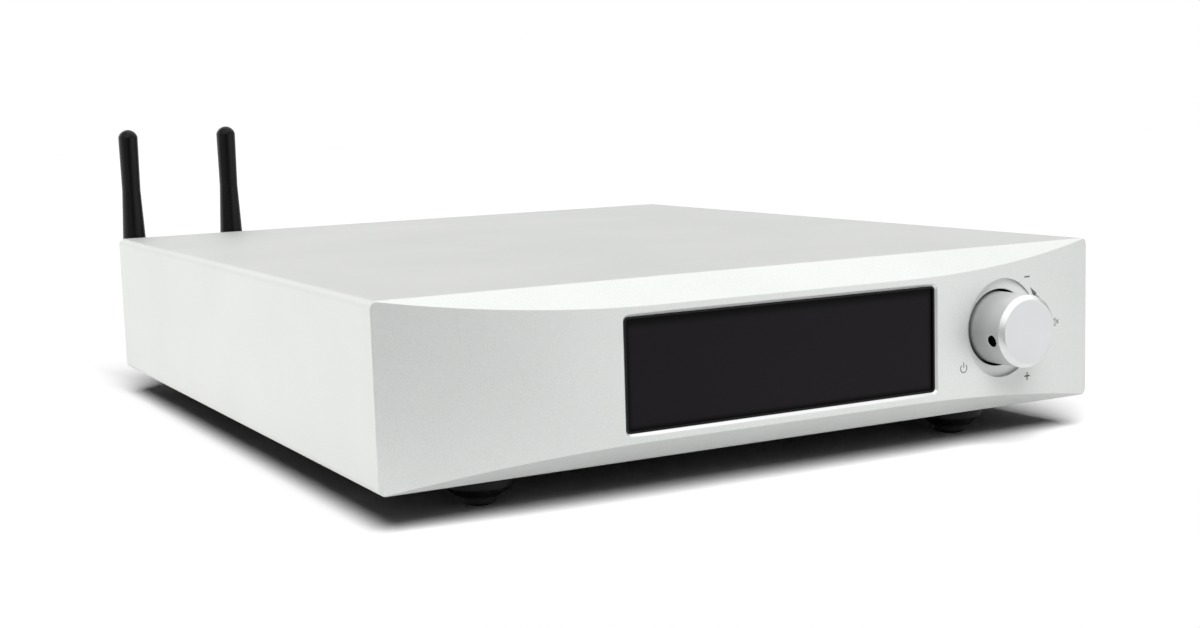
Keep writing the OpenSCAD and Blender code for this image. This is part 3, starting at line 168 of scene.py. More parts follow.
def hexColour(code):
    # sRGB hex to linear: the low part is divided by 12.92, the rest is a 2.4 power
    channel = np.array([int(code[i:i + 2], 16) for i in (0, 2, 4)]) / 255
    linear = np.where(channel <= 0.04045, channel / 12.92, ((channel + 0.055) / 1.055) ** 2.4)
    return (*linear.tolist(), 1.0)


def addNode(tree, kind, inputs=None, **settings):
    # a node with its settings; an input that is another node's output is linked
    node = tree.nodes.new(kind)
    for key, value in settings.items():
        setattr(node, key, value)
    for key, value in (inputs or {}).items():
        if isinstance(value, bpy.types.NodeSocket):
            tree.links.new(value, node.inputs[key])
        else:
            node.inputs[key].default_value = value
    return node


def startFinish(name):
    # an empty material with its output, and the Object coordinates that its patterns read
    material = bpy.data.materials.new(name)
    material.use_nodes = True
    tree = material.node_tree
    tree.nodes.clear()
    place = addNode(tree, "ShaderNodeTexCoord").outputs["Object"]
    return material, tree, place


def closeFinish(tree, inputs):
    # the one surface shader, and the output that it goes to
    shader = addNode(tree, "ShaderNodeBsdfPrincipled", inputs)
    addNode(tree, "ShaderNodeOutputMaterial", {"Surface": shader.outputs[0]})


# the middle of the noise's range, which it mostly fills
noiseSpan = {"From Min": 0.3, "From Max": 0.7}


def grainedFinish(name, look):
    # two tones mixed by a broad cloud and a fine grain, the grain also in the roughness and as bump
    material, tree, place = startFinish(name)
    grain = addNode(tree, "ShaderNodeTexNoise", {
        "Vector": place, "Scale": 1000 / look["grainMm"], "Detail": look.get("detail", 2.0)}).outputs[0]
    cloud = addNode(tree, "ShaderNodeTexNoise", {
        "Vector": place, "Scale": 1000 / look["cloudMm"], "Detail": 3.0}).outputs[0]
    blend = addNode(tree, "ShaderNodeMix", {0: look.get("grainShare", 0.5), 2: cloud, 3: grain})
    tone = addNode(tree, "ShaderNodeMapRange", {"Value": blend.outputs[0], **noiseSpan})
    colour = addNode(tree, "ShaderNodeMix", {
        0: tone.outputs[0], 6: hexColour(look["dark"]), 7: hexColour(look["light"])}, data_type="RGBA")
    rough = addNode(tree, "ShaderNodeMapRange", {
        "Value": grain, **noiseSpan, "To Min": look["rough"][0], "To Max": look["rough"][1]})
    bump = addNode(tree, "ShaderNodeBump", {
        "Height": grain, "Strength": look.get("bump", 0.5), "Distance": look["reliefMm"] / 1000})
    closeFinish(tree, {
        "Base Color": colour.outputs[2], "Roughness": rough.outputs[0], "Normal": bump.outputs[0],
        "Metallic": look.get("metal", 0.0), "IOR": look.get("ior", 1.5),
        "Specular IOR Level": look.get("specular", 0.5)})
    return material


# Aluminium, bead blasted and clear anodised: a pale satin grey with a fine sparkle. The real pits are about 0.1 mm,
# too fine for the picture, so the grain is drawn at 0.45 mm. The oxide scatters a share of the light, so it isn't all
# metal.
blastedAluminium = grainedFinish("blastedAnodisedAluminium", {
    "dark": "e1e5e2", "light": "eff1ef", "grainMm": 0.45, "cloudMm": 55.0, "grainShare": 0.6,
    "rough": (0.46, 0.56), "reliefMm": 0.012, "bump": 0.35, "metal": 0.55})
# The cover's bent sheet, and the panel's wall that meets it: the same blast and anodising, less green
blastedSheet = grainedFinish("blastedAnodisedSheet", {
    "dark": "d2d4d1", "light": "dedfdd", "grainMm": 0.45, "cloudMm": 55.0, "grainShare": 0.6,
    "rough": (0.50, 0.60), "reliefMm": 0.012, "bump": 0.35, "metal": 1.0})
# Aluminium turned smooth and clear anodised: finer and a little glossier than the blasted panel
turnedAluminium = grainedFinish("turnedAnodisedAluminium", {
    "dark": "e1e2e3", "light": "e9eaeb", "grainMm": 0.3, "cloudMm": 20.0, "grainShare": 0.4,
    "rough": (0.52, 0.58), "reliefMm": 0.004, "bump": 0.3, "metal": 0.6})
# Aluminium cut by a diamond tool: the bright rims of knob and window
cutAluminium = grainedFinish("diamondCutAluminium", {
    "dark": "dcdddd", "light": "e8e9e9", "grainMm": 0.25, "cloudMm": 8.0, "grainShare": 0.4,
    "rough": (0.28, 0.34), "reliefMm": 0.002, "bump": 0.3, "metal": 1.0})
# ABS moulded in a spark-eroded tool: near black, dull, with a fine pebble
mouldedBlack = grainedFinish("mouldedBlackPlastic", {
    "dark": "0d0d0e", "light": "161617", "grainMm": 0.5, "cloudMm": 25.0, "grainShare": 0.6,
    "rough": (0.40, 0.52), "reliefMm": 0.02, "bump": 0.4, "specular": 0.2})
# Polyurethane sleeve of the antennas, moulded smooth: blacker, with a soft sheen along its sides
mouldedSleeve = grainedFinish("mouldedPolyurethaneSleeve", {
    "dark": "040404", "light": "070707", "grainMm": 0.5, "cloudMm": 15.0, "grainShare": 0.3,
    "rough": (0.24, 0.28), "reliefMm": 0.001, "bump": 0.1, "specular": 0.2})
# Smoked acrylic, cast, with an anti-glare face: a dark pane, faintly purple, that mirrors very little. Along its
# edges black is painted in as the shade of the window's rim, deepest at the top, and the painted shade fades inwards.
pane = {
    "dark": "1d1a1e", "light": "252227", "rimShade": "020202", "cloudMm": 60.0, "rough": (0.15, 0.21),
    "ior": 1.49, "specular": 0.05, "shadeFadeMm": {"top": 3.4, "bottom": 1.6, "side": 1.8}}


def paneFinish():
    material, tree, place = startFinish("castSmokedAcrylic")
    cloud = addNode(tree, "ShaderNodeTexNoise", {
        "Vector": place, "Scale": 1000 / pane["cloudMm"], "Detail": 2.0}).outputs[0]
    colour = addNode(tree, "ShaderNodeMix", {
        0: cloud, 6: hexColour(pane["dark"]), 7: hexColour(pane["light"])}, data_type="RGBA").outputs[2]
    spot = addNode(tree, "ShaderNodeSeparateXYZ", {0: place})
    low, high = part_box("display_lens")
    # share of painted rim shade left at each edge, multiplied into one clear field
    for axis, edge, inward, side in (("Z", high[2], -1, "top"), ("Z", low[2], 1, "bottom"),
                                     ("X", low[0], 1, "side"), ("X", high[0], -1, "side")):
        faded = edge + inward * pane["shadeFadeMm"][side] / 1000
        clear = addNode(tree, "ShaderNodeMapRange", {
            "Value": spot.outputs[axis], "From Min": edge, "From Max": faded},
            interpolation_type="SMOOTHSTEP").outputs[0]
        colour = addNode(tree, "ShaderNodeMix", {0: clear, 6: hexColour(pane["rimShade"]), 7: colour},
                         data_type="RGBA").outputs[2]
    rough = addNode(tree, "ShaderNodeMapRange", {
        "Value": cloud, "To Min": pane["rough"][0], "To Max": pane["rough"][1]}).outputs[0]
    closeFinish(tree, {
        "Base Color": colour, "Roughness": rough, "IOR": pane["ior"], "Specular IOR Level": pane["specular"]})
    return material


smokedAcrylic = paneFinish()
# Display glass, switched off
displayGlass = grainedFinish("switchedOffDisplayGlass", {
    "dark": "0d0d0f", "light": "131316", "grainMm": 4.0, "cloudMm": 40.0,
    "rough": (0.08, 0.12), "reliefMm": 0.001, "bump": 0.05})
# Rubber, moulded: black with a bloom
mouldedRubber = grainedFinish("mouldedBlackRubber", {
    "dark": "141414", "light": "202020", "grainMm": 0.7, "cloudMm": 6.0,
    "rough": (0.70, 0.86), "reliefMm": 0.03, "bump": 0.5})
# Steel with a black powder coat: an orange-peel texture of about 0.6 mm
powderCoat = grainedFinish("blackPowderCoatedSteel", {
    "dark": "18191a", "light": "252628", "grainMm": 0.6, "cloudMm": 40.0, "grainShare": 0.7,
    "rough": (0.48, 0.64), "reliefMm": 0.03, "bump": 0.5})
# Steel, zinc plated and passivated: a bluish grey with cloudy patches
zincSteel = grainedFinish("zincPlatedSteel", {
    "dark": "a6aaae", "light": "bec1c4", "grainMm": 0.8, "cloudMm": 7.0, "grainShare": 0.3,
    "rough": (0.28, 0.38), "reliefMm": 0.003, "bump": 0.2, "metal": 1.0})
# Brass, bright nickel plated: connector shells
nickelShell = grainedFinish("nickelPlatedBrass", {
    "dark": "c3bfb8", "light": "cecac3", "grainMm": 0.6, "cloudMm": 9.0, "grainShare": 0.3,
    "rough": (0.24, 0.30), "reliefMm": 0.002, "bump": 0.2, "metal": 1.0})
# Brass, gold flashed: coaxial parts
gildedBrass = grainedFinish("goldFlashedBrass", {
    "dark": "c69a45", "light": "e2bd68", "grainMm": 0.5, "cloudMm": 4.0, "grainShare": 0.4,
    "rough": (0.18, 0.30), "reliefMm": 0.004, "bump": 0.3, "metal": 1.0})
# Glass-epoxy board under solder mask: deep green, half gloss, with the weave faintly through it
solderMask = grainedFinish("solderMaskBoard", {
    "dark": "0f3a26", "light": "19513a", "grainMm": 0.9, "cloudMm": 9.0, "grainShare": 0.5,
    "rough": (0.24, 0.38), "reliefMm": 0.01, "bump": 0.4})
# Aluminium, extruded and black anodised: the heat sink
blackAnodised = grainedFinish("blackAnodisedAluminium", {
    "dark": "1a1b1d", "light": "2a2b2e", "grainMm": 0.5, "cloudMm": 12.0,
    "rough": (0.34, 0.48), "reliefMm": 0.008, "bump": 0.3, "metal": 0.6})
# Polyester tape round the transformer's coil: glossy yellow
coilTape = grainedFinish("polyesterCoilTape", {
    "dark": "b98f22", "light": "d6ad3a", "grainMm": 1.2, "cloudMm": 8.0,
    "rough": (0.22, 0.34), "reliefMm": 0.01, "bump": 0.3})
# Heat-shrunk sleeve of the capacitors: dark blue-black film
canSleeve = grainedFinish("shrunkCapacitorSleeve", {
    "dark": "1c2233", "light": "28304a", "grainMm": 0.8, "cloudMm": 6.0,
    "rough": (0.26, 0.36), "reliefMm": 0.006, "bump": 0.3})
# Nylon, moulded white: plunger and ribbon
mouldedNylon = grainedFinish("mouldedWhiteNylon", {
    "dark": "d3d1ca", "light": "e4e2dc", "grainMm": 0.5, "cloudMm": 7.0,
    "rough": (0.40, 0.52), "reliefMm": 0.008, "bump": 0.3})
# PVC sleeve, extruded: the leads inside
leadSleeve = grainedFinish("extrudedPvcSleeve", {
    "dark": "151515", "light": "222222", "grainMm": 0.4, "cloudMm": 5.0,
    "rough": (0.40, 0.52), "reliefMm": 0.006, "bump": 0.3})
# Painted shade: matt black in the knob's hole, its screw's way and the window's top edge, so the gaps read black
paintedShadeFinish = grainedFinish("paintedShadeBlack", {
    "dark": "050505", "light": "0a0a0a", "grainMm": 0.4, "cloudMm": 4.0,
    "rough": (0.70, 0.80), "reliefMm": 0.004, "bump": 0.3, "specular": 0.03})
# Screen ink on the front: a matte mid grey
frontInk = grainedFinish("screenPrintedInk", {
    "dark": "6c706f", "light": "7c807f", "grainMm": 0.3, "cloudMm": 3.0,
    "rough": (0.60, 0.72), "reliefMm": 0.004, "bump": 0.3})
# Pad-printed ink on the switch: white, matt
signInk = grainedFinish("padPrintedWhiteInk", {
    "dark": "c9cac8", "light": "dededc", "grainMm": 0.3, "cloudMm": 3.0,
    "rough": (0.55, 0.68), "reliefMm": 0.004, "bump": 0.3})
print("finishes made")

# every carried-over node gets the finish of its slot
slotFinish = {
    "silver_anodised": blastedAluminium, "black_plastic": mouldedBlack, "smoked_lens": smokedAcrylic,
    "display_face": displayGlass, "black_rubber": mouldedRubber, "black_painted_steel": powderCoat,
    "zinc_steel": zincSteel, "nickel_shell": nickelShell, "brass_gilt": gildedBrass,
    "circuit_board": solderMask, "black_aluminium": blackAnodised, "coil_tape": coilTape,
    "can_sleeve": canSleeve, "white_plastic": mouldedNylon, "lead_sleeve": leadSleeve}
for subpart in frame["record"]["subparts"]:
    surfaces = nodes[subpart["node"]].data.materials
    surfaces.clear()
    surfaces.append(slotFinish[subpart["material_slot"]])
for side in ("left", "right"):
    nodes[f"antenna_{side}_mast"].data.materials[0] = mouldedSleeve
print("carried-over nodes:", len(nodes))

# the bowed front panel
panel = {
    "halfWidth": 117.5, "halfHeight": 24.5, "cornerRound": 2.2, "faceY": -8.8, "flatHalf": 40.0, "bevelDrop": 6.5,
    "opening": (51.2, 15.45), "openingRound": 1.2, "bezelFront": -8.0, "pocketFront": -5.5, "pocketMargin": 1.6,
    "knobX": 77.9, "knobRise": 0.7, "recessR": 14.6, "recessSkirt": 0.5, "recessFloor": -4.9,
    "floorRings": (14.48, 13.6, 12.7, 11.7), "holeR": 11.45, "holeFloor": 2.0, "bushR": 4.45,
    # broken edges; a share is the most that one takes of a low bevel or recess, pairs are steps out and back
    "edgeBreak": 0.25, "creaseBreak": 0.12, "creaseShare": 0.45, "rimBreak": 0.2, "rimShare": 0.4,
    "windowBreak": ((0.12, 0), (0.02, 0.02), (-0.08, 0.08)), "holeBreak": ((0.07, 0.07), (0, 0.2))}
# lines of the panel's grid: at the window's corners, over the knob's square, even runs as from, to and count
gridLines = {
    "windowX": (50.0, 50.64, 51.33, 52.14, 53.2), "windowRise": (14.25, 15.6, 16.4, 17.45),
    "knobHalf": 17.0, "knobCount": 25, "cornerCount": 9,
    "left": (-112, -56, 20), "middle": (-48, 48, 25), "right": (97, 113, 7), "between": (55.6, 58.0)}
easeShares = (0, 0.25, 0.5, 0.75, 1)
midZ = panel["halfHeight"]
knobZ = midZ + panel["knobRise"]
bowRun = panel["halfWidth"] - panel["flatHalf"]
bowR = (bowRun ** 2 + panel["faceY"] ** 2) / (-2 * panel["faceY"])
bevelSlope = math.atan2(panel["bevelDrop"], -panel["faceY"])


def bowY(x):
    # flat in the middle, then a circular arc back to the corners
    run = np.maximum(np.abs(x) - panel["flatHalf"], 0)
    return panel["faceY"] + bowR - np.sqrt(bowR ** 2 - run ** 2)


def skinY(x, rise):
    # the foremost of bow and bevel planes, at a height above or below the middle
    bevel = (np.abs(rise) - midZ) * -panel["faceY"] / panel["bevelDrop"]
    return np.maximum(bowY(x), bevel)


def knobSteps():
    # half the square times the tangent of even turns, so that spokes from its middle meet it evenly
    return gridLines["knobHalf"] * np.tan(np.radians(np.linspace(-45, 45, gridLines["knobCount"])))


def panelColumns():
    # sorted stations across the panel: round corners, window corners, knob square, even steps between
    inset = panel["halfWidth"] - panel["cornerRound"]
    turn = np.linspace(0, np.pi / 2, gridLines["cornerCount"])
    corner = inset + (panel["cornerRound"] - panel["edgeBreak"]) * np.sin(turn)
    window = np.array(gridLines["windowX"])
    runs = [np.linspace(*gridLines[run]) for run in ("left", "middle", "right")]
    stations = [-corner, corner, -window, window, panel["knobX"] + knobSteps(), *runs, gridLines["between"],
                [-panel["flatHalf"], panel["flatHalf"]]]
    return np.unique(np.round(np.concatenate(stations), 4))


def panelFront():
    columns = panelColumns()
    inset = panel["halfWidth"] - panel["cornerRound"]
    smallRound = panel["cornerRound"] - panel["edgeBreak"]
    past = np.clip(np.abs(columns) - inset, 0, smallRound)
    top = midZ - panel["cornerRound"] + np.sqrt(np.maximum(smallRound ** 2 - past ** 2, 0))
    bow = bowY(columns)
    crease = np.minimum(midZ + bow * panel["bevelDrop"] / -panel["faceY"], top)
    bevelLength = (top - crease) / math.sin(bevelSlope)
    ease = np.minimum(panel["creaseBreak"], panel["creaseShare"] * bevelLength)
    # upper half of each column, from the bevel's top edge down over the eased crease to the face
    lowBevel = np.stack([bow + ease * math.cos(bevelSlope), crease + ease * math.sin(bevelSlope)])
    onFace = np.stack([bow, crease - ease])
    corner = np.stack([bow, crease])
    edge = np.stack([skinY(columns, top), top])
    bevelRows = [edge + (lowBevel - edge) * share for share in (0, 0.34, 0.67)]
    easeRows = [softCorner(lowBevel, corner, onFace, share) for share in easeShares]
    upper = bevelRows + easeRows
    # face rows shared by the window's corners and the knob's square
    window = np.array(gridLines["windowRise"])
    rises = np.unique(np.round(np.concatenate([knobSteps(), -window, window]), 4))
    rows = [np.stack([columns, r[0], -r[1]], -1) for r in upper]
    rows += [np.stack([columns, bow, np.full_like(columns, rise)], -1) for rise in rises]
    rows += [np.stack([columns, r[0], r[1]], -1) for r in reversed(upper)]
    return columns, rises, len(upper), np.stack(rows)


def frameLoop(grid, rowFrom, rowTo, colFrom, colTo):
    # the points round a block of grid cells, once round
    return np.concatenate([
        grid[rowFrom, colFrom:colTo], grid[rowFrom:rowTo, colTo],
        grid[rowTo, colTo:colFrom:-1], grid[rowTo:rowFrom:-1, colFrom]])


def buildPanel():
    columns, rises, lead, grid = panelFront()
    rowCount, columnCount = grid.shape[:2]
    quads = gridQuads(rowCount, columnCount)
    cellRow, cellColumn = np.divmod(np.arange(len(quads)), columnCount - 1)

    def block(x0, x1, rise0, rise1):
        pick = lambda line, value: int(np.argmin(np.abs(line - value)))
        return lead + pick(rises, rise0), lead + pick(rises, rise1), pick(columns, x0), pick(columns, x1)

    blockX, blockRise, half = gridLines["windowX"][-1], gridLines["windowRise"][-1], gridLines["knobHalf"]
    windowBlock = block(-blockX, blockX, -blockRise, blockRise)
    knobBlock = block(panel["knobX"] - half, panel["knobX"] + half, -half, half)
    keep = np.ones(len(quads), bool)
    for r0, r1, c0, c1 in (windowBlock, knobBlock):
        keep &= ~((cellRow >= r0) & (cellRow < r1) & (cellColumn >= c0) & (cellColumn < c1))
    skin = (grid.reshape(-1, 3), quads[keep])

    # window: out of the bowed face over an eased edge, down the chamfer, through the wall, into the bezel's pocket
    rim = frameLoop(grid, *windowBlock)
    halfW, halfH = panel["opening"]
    radius = panel["openingRound"]

    def openingLoop(offset, y):
        x, z = nearestRim(rim[:, 0], rim[:, 2], halfW + offset, halfH + offset, radius + offset)
        return np.stack([x, np.broadcast_to(y, x.shape), z], -1)

    flare = panel["bezelFront"] - bowY(rim[:, 0])
    edgeX = openingLoop(flare, 0.0)[:, 0]
    flare = panel["bezelFront"] - bowY(edgeX)
    windowLoops = [rim] + [openingLoop(flare + out, bowY(edgeX) + deep) for out, deep in panel["windowBreak"]]
    chamferLoops = [windowLoops[-1], openingLoop(0.0, panel["bezelFront"])]
    pocketLoops = [chamferLoops[-1], openingLoop(0.0, panel["pocketFront"])]
    # the pocket's points are the rim's, carried outside it and then to the nearest place on it
    margin, outside = panel["pocketMargin"], 1.1 * rim
    pocketX, pocketZ = nearestRim(outside[:, 0], outside[:, 2], halfW + margin, halfH + margin, radius)
    for y in (panel["pocketFront"], panelDepth):
        pocketLoops.append(np.stack([pocketX, np.full_like(pocketX, y), pocketZ], -1))

    # knob: square to circle on the bow, eased rim, spot face where it lies below the bow, hole, bush hole
    square = frameLoop(grid, *knobBlock)
    spoke = square[:, [0, 2]] - [panel["knobX"], panel["knobRise"]]
    spoke /= np.linalg.norm(spoke, axis=1, keepdims=True)

    def ringLoop(radius, y=None, sink=0.0):
        x, z = panel["knobX"] + radius * spoke[:, 0], panel["knobRise"] + radius * spoke[:, 1]
        return np.stack([x, bowY(x) + sink if y is None else np.broadcast_to(y, x.shape), z], -1)

    def floorLoop(radius):
        x = panel["knobX"] + radius * spoke[:, 0]
        return ringLoop(radius, np.maximum(panel["recessFloor"], bowY(x)))

    recessR, holeR = panel["recessR"], panel["holeR"]
    depth = np.maximum(panel["recessFloor"] - bowY(panel["knobX"] + recessR * spoke[:, 0]), 0)
    ease = np.minimum(panel["rimBreak"], panel["rimShare"] * depth)
    outerRing = ringLoop(recessR + panel["recessSkirt"])
    knobLoops = [square]
    for share in (0.33, 0.67):
        mixed = square + (outerRing - square) * share
        mixed[:, 1] = bowY(mixed[:, 0])
        knobLoops.append(mixed)
    flatRim = ringLoop(recessR + panel["rimBreak"])
    wallTop = ringLoop(recessR, sink=ease)
    knobLoops += [outerRing, flatRim]
    knobLoops += [softCorner(flatRim, ringLoop(recessR), wallTop, share) for share in (0.35, 0.7)]
    knobLoops += [wallTop] + [floorLoop(ring) for ring in (recessR, *panel["floorRings"])]
    knobLoops += [ringLoop(holeR + out, panel["recessFloor"] + deep) for out, deep in panel["holeBreak"]]
    boreLoops = [
        knobLoops[-1], ringLoop(holeR, panel["holeFloor"]), ringLoop(panel["bushR"], panel["holeFloor"]),
        ringLoop(panel["bushR"], panelDepth)]

    # outer edge: eased round the outline, then straight back to the cover
    outline = frameLoop(grid, 0, rowCount - 1, 0, columnCount - 1)
    sideX, sideZ = nearestRim(
        outline[:, 0], outline[:, 2], panel["halfWidth"], midZ, panel["cornerRound"])
    corner = np.stack([sideX, skinY(sideX, sideZ), sideZ], -1)
    wall = corner + [0, panel["edgeBreak"], 0]
    edgeLoops = [softCorner(outline, corner, wall, share) for share in easeShares]
    back = corner.copy()
    back[:, 1] = panelDepth
    wallLoops = [edgeLoops[-1], back]
    patches = [skin] + [loopStack(loops) for loops in (windowLoops, pocketLoops, knobLoops, edgeLoops)]
    patches.append(flatCap(back, [pocketLoops[-1], boreLoops[-1]]))
    # the chamfer is bright, but painted black along its top as painted shade, like the painted shade at the lens's
    # top edge
    points, faces = loopStack(chamferLoops)
    paintedShadeTop = points[faces][:, :, 2].min(1) > halfH
    # the knob's hole is painted black as well: painted shade in the narrow gap round the knob
    patches += [(*loopStack(boreLoops), paintedShadeFinish), (points, faces[paintedShadeTop], paintedShadeFinish),
                (points, faces[~paintedShadeTop], cutAluminium), (*loopStack(wallLoops), blastedSheet)]
    lifted = [(points + [0, 0, midZ], faces, *finish) for points, faces, *finish in patches]
    buildPiece("bowedFrontPanel", lifted, blastedAluminium, "chassis", ["front_panel"])


buildPanel()

# the cover: top and sides bent from one sheet, with the rails that its screws go into
cover = {
    "thickness": 2.5, "rearEdge": 262.0, "rearBreak": 0.3, "rearEase": 0.09, "stations": (40, 230, 6),
    "railW": 7.0, "railH": 6.4, "railFrom": 9.0, "railTo": 259.0, "railSunk": 1.0, "floorZ": 1.6}


def buildCover():
    # a U of two rounded corners carried from the panel to the back, its outside drawn in at the rear edge
    halfW, height, radius = panel["halfWidth"], 2 * midZ, panel["cornerRound"]
    inner = halfW - cover["thickness"]
    arc = np.radians(np.linspace(0, 90, 13))
    foot = np.stack([halfW - radius + radius * np.sin(arc), radius - radius * np.cos(arc)], -1)
    shoulder = np.stack([halfW - radius + radius * np.cos(arc), height - radius + radius * np.sin(arc)], -1)
    right = np.concatenate([[[inner, 0]], foot, shoulder])
    outer = np.concatenate([right, right[::-1] * [-1, 1]])
    inside = np.array([[-inner, height - cover["thickness"]], [inner, height - cover["thickness"]]])
    profile = np.concatenate([outer, inside])
    centre = np.stack([np.clip(profile[:, 0], -halfW + radius, halfW - radius),
                       np.clip(profile[:, 1], radius, height - radius)], -1)
    outwards = profile - centre
    outwards /= np.maximum(np.linalg.norm(outwards, axis=1, keepdims=True), 1e-9)
    outwards[[0, len(outer) - 1]] = 0
    outwards[len(outer):] = 0
    loops = []
    rear, ease = cover["rearEdge"], cover["rearEase"]
    stations = [(panelDepth, 0)] + [(y, 0) for y in np.linspace(*cover["stations"])]
    stations += [(rear - cover["rearBreak"], 0), (rear - ease, ease), (rear, cover["rearBreak"])]
    for y, drawn in stations:
        section = profile - outwards * drawn
        loops.append(np.stack([section[:, 0], np.full(len(section), y), section[:, 1]], -1))
    patches = [loopStack(loops), flatCap(loops[0]), flatCap(loops[-1])]
    for side in (-1, 1):
        for z in (cover["floorZ"], height - cover["thickness"] - cover["railH"]):
            start, stop = inner - cover["railW"], inner + cover["railSunk"]
            x = np.array([start, stop, stop, start]) * side
            rise = np.array([z, z, z + cover["railH"], z + cover["railH"]])
            ends = [np.stack([x, np.full(4, y), rise], -1) for y in (cover["railFrom"], cover["railTo"])]
            patches += [loopStack(ends), (ends[0], [[0, 1, 2, 3]]), (ends[1], [[0, 1, 2, 3]])]
    buildPiece("bentCover", patches, blastedSheet, "chassis", ["top_cover"])


buildCover()

# the knob, with the way of its set screw
knob = {
    "radius": 10.7, "front": -18.0, "chamfer": 1.3, "back": 0.6, "backBreak": 0.2, "cavityR": 8.3, "hubBack": -2.4,
    "boreR": 3.05, "boreEnd": -15.6, "faceRings": (0, 2, 4, 6, 8, 9), "sideRows": (-9, -6, -3),
    # eased rims of the chamfer, as steps out and back from its front edge and from its rear edge
    "frontRim": ((-0.12, 0), (-0.02, 0.03), (0.08, 0.08)), "rearRim": ((-0.1, -0.1), (-0.02, 0.02), (0, 0.14)),
    "screwY": -13.7, "screwTurn": math.radians(192.6), "screwR": 1.75, "screwFloor": 3.4, "patch": 2.5,
    "patchRing": 2.2, "mouthBreak": 0.12}


def buildKnob():
    radius, front, chamfer = knob["radius"], knob["front"], knob["chamfer"]
    tangent = np.tan(np.radians(np.linspace(-45, 45, 17)))
    # turns: fine over the set screw's patch, even elsewhere
    patchTurn = np.arcsin(knob["patch"] * tangent / radius)
    rest = np.linspace(patchTurn[-1], 2 * np.pi + patchTurn[0], 101)[1:-1]
    turn = np.concatenate([patchTurn, rest]) + knob["screwTurn"]
    circle = np.stack([np.cos(turn), np.sin(turn)], -1)

    def ring(r, y):
        return np.stack([r * circle[:, 0] + panel["knobX"], np.full(len(turn), y), r * circle[:, 1] + knobZ], -1)

    rimLine = [ring(radius - chamfer + out, front + deep) for out, deep in knob["frontRim"]]
    rimLine += [ring(radius + out, front + chamfer + deep) for out, deep in knob["rearRim"]]
    face = [ring(r, front) for r in knob["faceRings"]] + rimLine[:1]
    sideRows = [*(knob["screwY"] + knob["patch"] * tangent), *knob["sideRows"], knob["back"] - knob["backBreak"]]
    side = rimLine[-1:] + [ring(radius, y) for y in sideRows]
    inside = [side[-1], ring(radius - knob["backBreak"], knob["back"]), ring(knob["cavityR"], knob["back"]),
              ring(knob["cavityR"], knob["hubBack"]), ring(knob["boreR"], knob["hubBack"]),
              ring(knob["boreR"], knob["boreEnd"]), ring(0, knob["boreEnd"])]
    points, quads = loopStack(side)
    row, column = np.divmod(np.arange(len(quads)), len(turn))
    span = len(tangent) - 1
    hidden = (row >= 1) & (row < 1 + span) & (column < span)
    # set screw's way: the square patch drawn to the circle where a round drill meets the round side, then straight in
    u = np.concatenate([tangent[:-1], np.ones(span), tangent[:0:-1], -np.ones(span)])
    v = np.concatenate([-np.ones(span), tangent[:-1], np.ones(span), tangent[:0:-1]])
    roundU, roundV = np.stack([u, v]) / np.hypot(u, v)
    along = np.array([math.cos(knob["screwTurn"]), 0, math.sin(knob["screwTurn"])])
    across = np.array([-along[2], 0, along[0]])
    axis = np.array([panel["knobX"], knob["screwY"], knobZ])

    def drilled(a, b, reach=None):
        # a across and b along the knob; on the round side, the radius that is left is the reach
        reach = np.sqrt(radius ** 2 - a ** 2) if reach is None else np.broadcast_to(reach, a.shape)
        return axis + a[:, None] * across + b[:, None] * [0, 1, 0] + reach[:, None] * along

    wayR = knob["screwR"]
    loops = [drilled(u * knob["patch"], v * knob["patch"])]
    loops += [drilled(roundU * r, roundV * r) for r in (knob["patchRing"], wayR + knob["mouthBreak"])]
    mouth = np.sqrt(radius ** 2 - (roundU * wayR) ** 2) - knob["mouthBreak"]
    loops.append(drilled(roundU * wayR, roundV * wayR, mouth))
    way = loops[-1:] + [drilled(roundU * r, roundV * r, knob["screwFloor"]) for r in (wayR, 0.0)]
    # the set screw's way is painted black: painted shade inside the narrow hole
    patches = [loopStack(face), (*loopStack(rimLine), cutAluminium), (points, quads[~hidden]), loopStack(inside),
               loopStack(loops), (*loopStack(way), paintedShadeFinish)]
    buildPiece("turnedKnob", patches, turnedAluminium, "knob", ["volume_knob"], sharpAngle=25)


buildKnob()

# printed marks on the front: strokes of ink that follow the bow
marks = {
    "ink": 0.03, "sunk": 0.04, "width": 0.42, "minus": (88.55, 39.5), "minusHalf": 1.15,
    "plus": (88.6, 9.5), "plusHalf": 1.2,
    "power": (61.75, 14.9), "powerR": 1.25, "powerSpan": (130, 410), "powerBar": (0.2, 1.8), "powerShare": 0.65,
    # muted speaker: box, horn and a cross
    "mute": (101.8, 24.5), "muteShare": 0.55, "speaker": (
        ((-1.5, -0.55), (-1.5, 0.55), (-0.9, 0.55)),
        ((-1.5, -0.55), (-0.9, -0.55), (-0.05, -1.3), (-0.05, 1.3), (-0.9, 0.55)),
        ((0.5, -0.6), (1.6, 0.6)), ((0.5, 0.6), (1.6, -0.6))),
    "arcCentre": (83.26, 16.93), "arcR": 19.08, "arcSpan": (28.5, 63), "arcShare": 0.75, "arcCount": 30,
    "arrow": ((92.3, 33.6), (89.93, 36.24)), "arrowWidth": (1.7, 0.05)}


def onBow(path, lift):
    # points across and up, laid on the bowed front and lifted off it
    return np.stack([path[:, 0], bowY(path[:, 0]) - lift, path[:, 1]], -1)


def inkStroke(path, width, lay=onBow):
    # a line of points widened to both sides, laid on its surface and closed underneath
    path = np.asarray(path, float)
    run = np.gradient(path, axis=0)
    run /= np.linalg.norm(run, axis=1, keepdims=True)
    sideways = np.stack([-run[:, 1], run[:, 0]], -1) * np.reshape(width, (-1, 1)) / 2
    left, right = path + sideways, path - sideways
    points = np.stack([lay(left, marks["ink"]), lay(right, marks["ink"]),
                       lay(right, -marks["sunk"]), lay(left, -marks["sunk"])], 1)
    count = len(path)
    ends = np.array([[0, 1, 2, 3], np.arange(4) + 4 * (count - 1)])
    return points.reshape(-1, 3), np.concatenate([gridQuads(count, 4, True), ends])


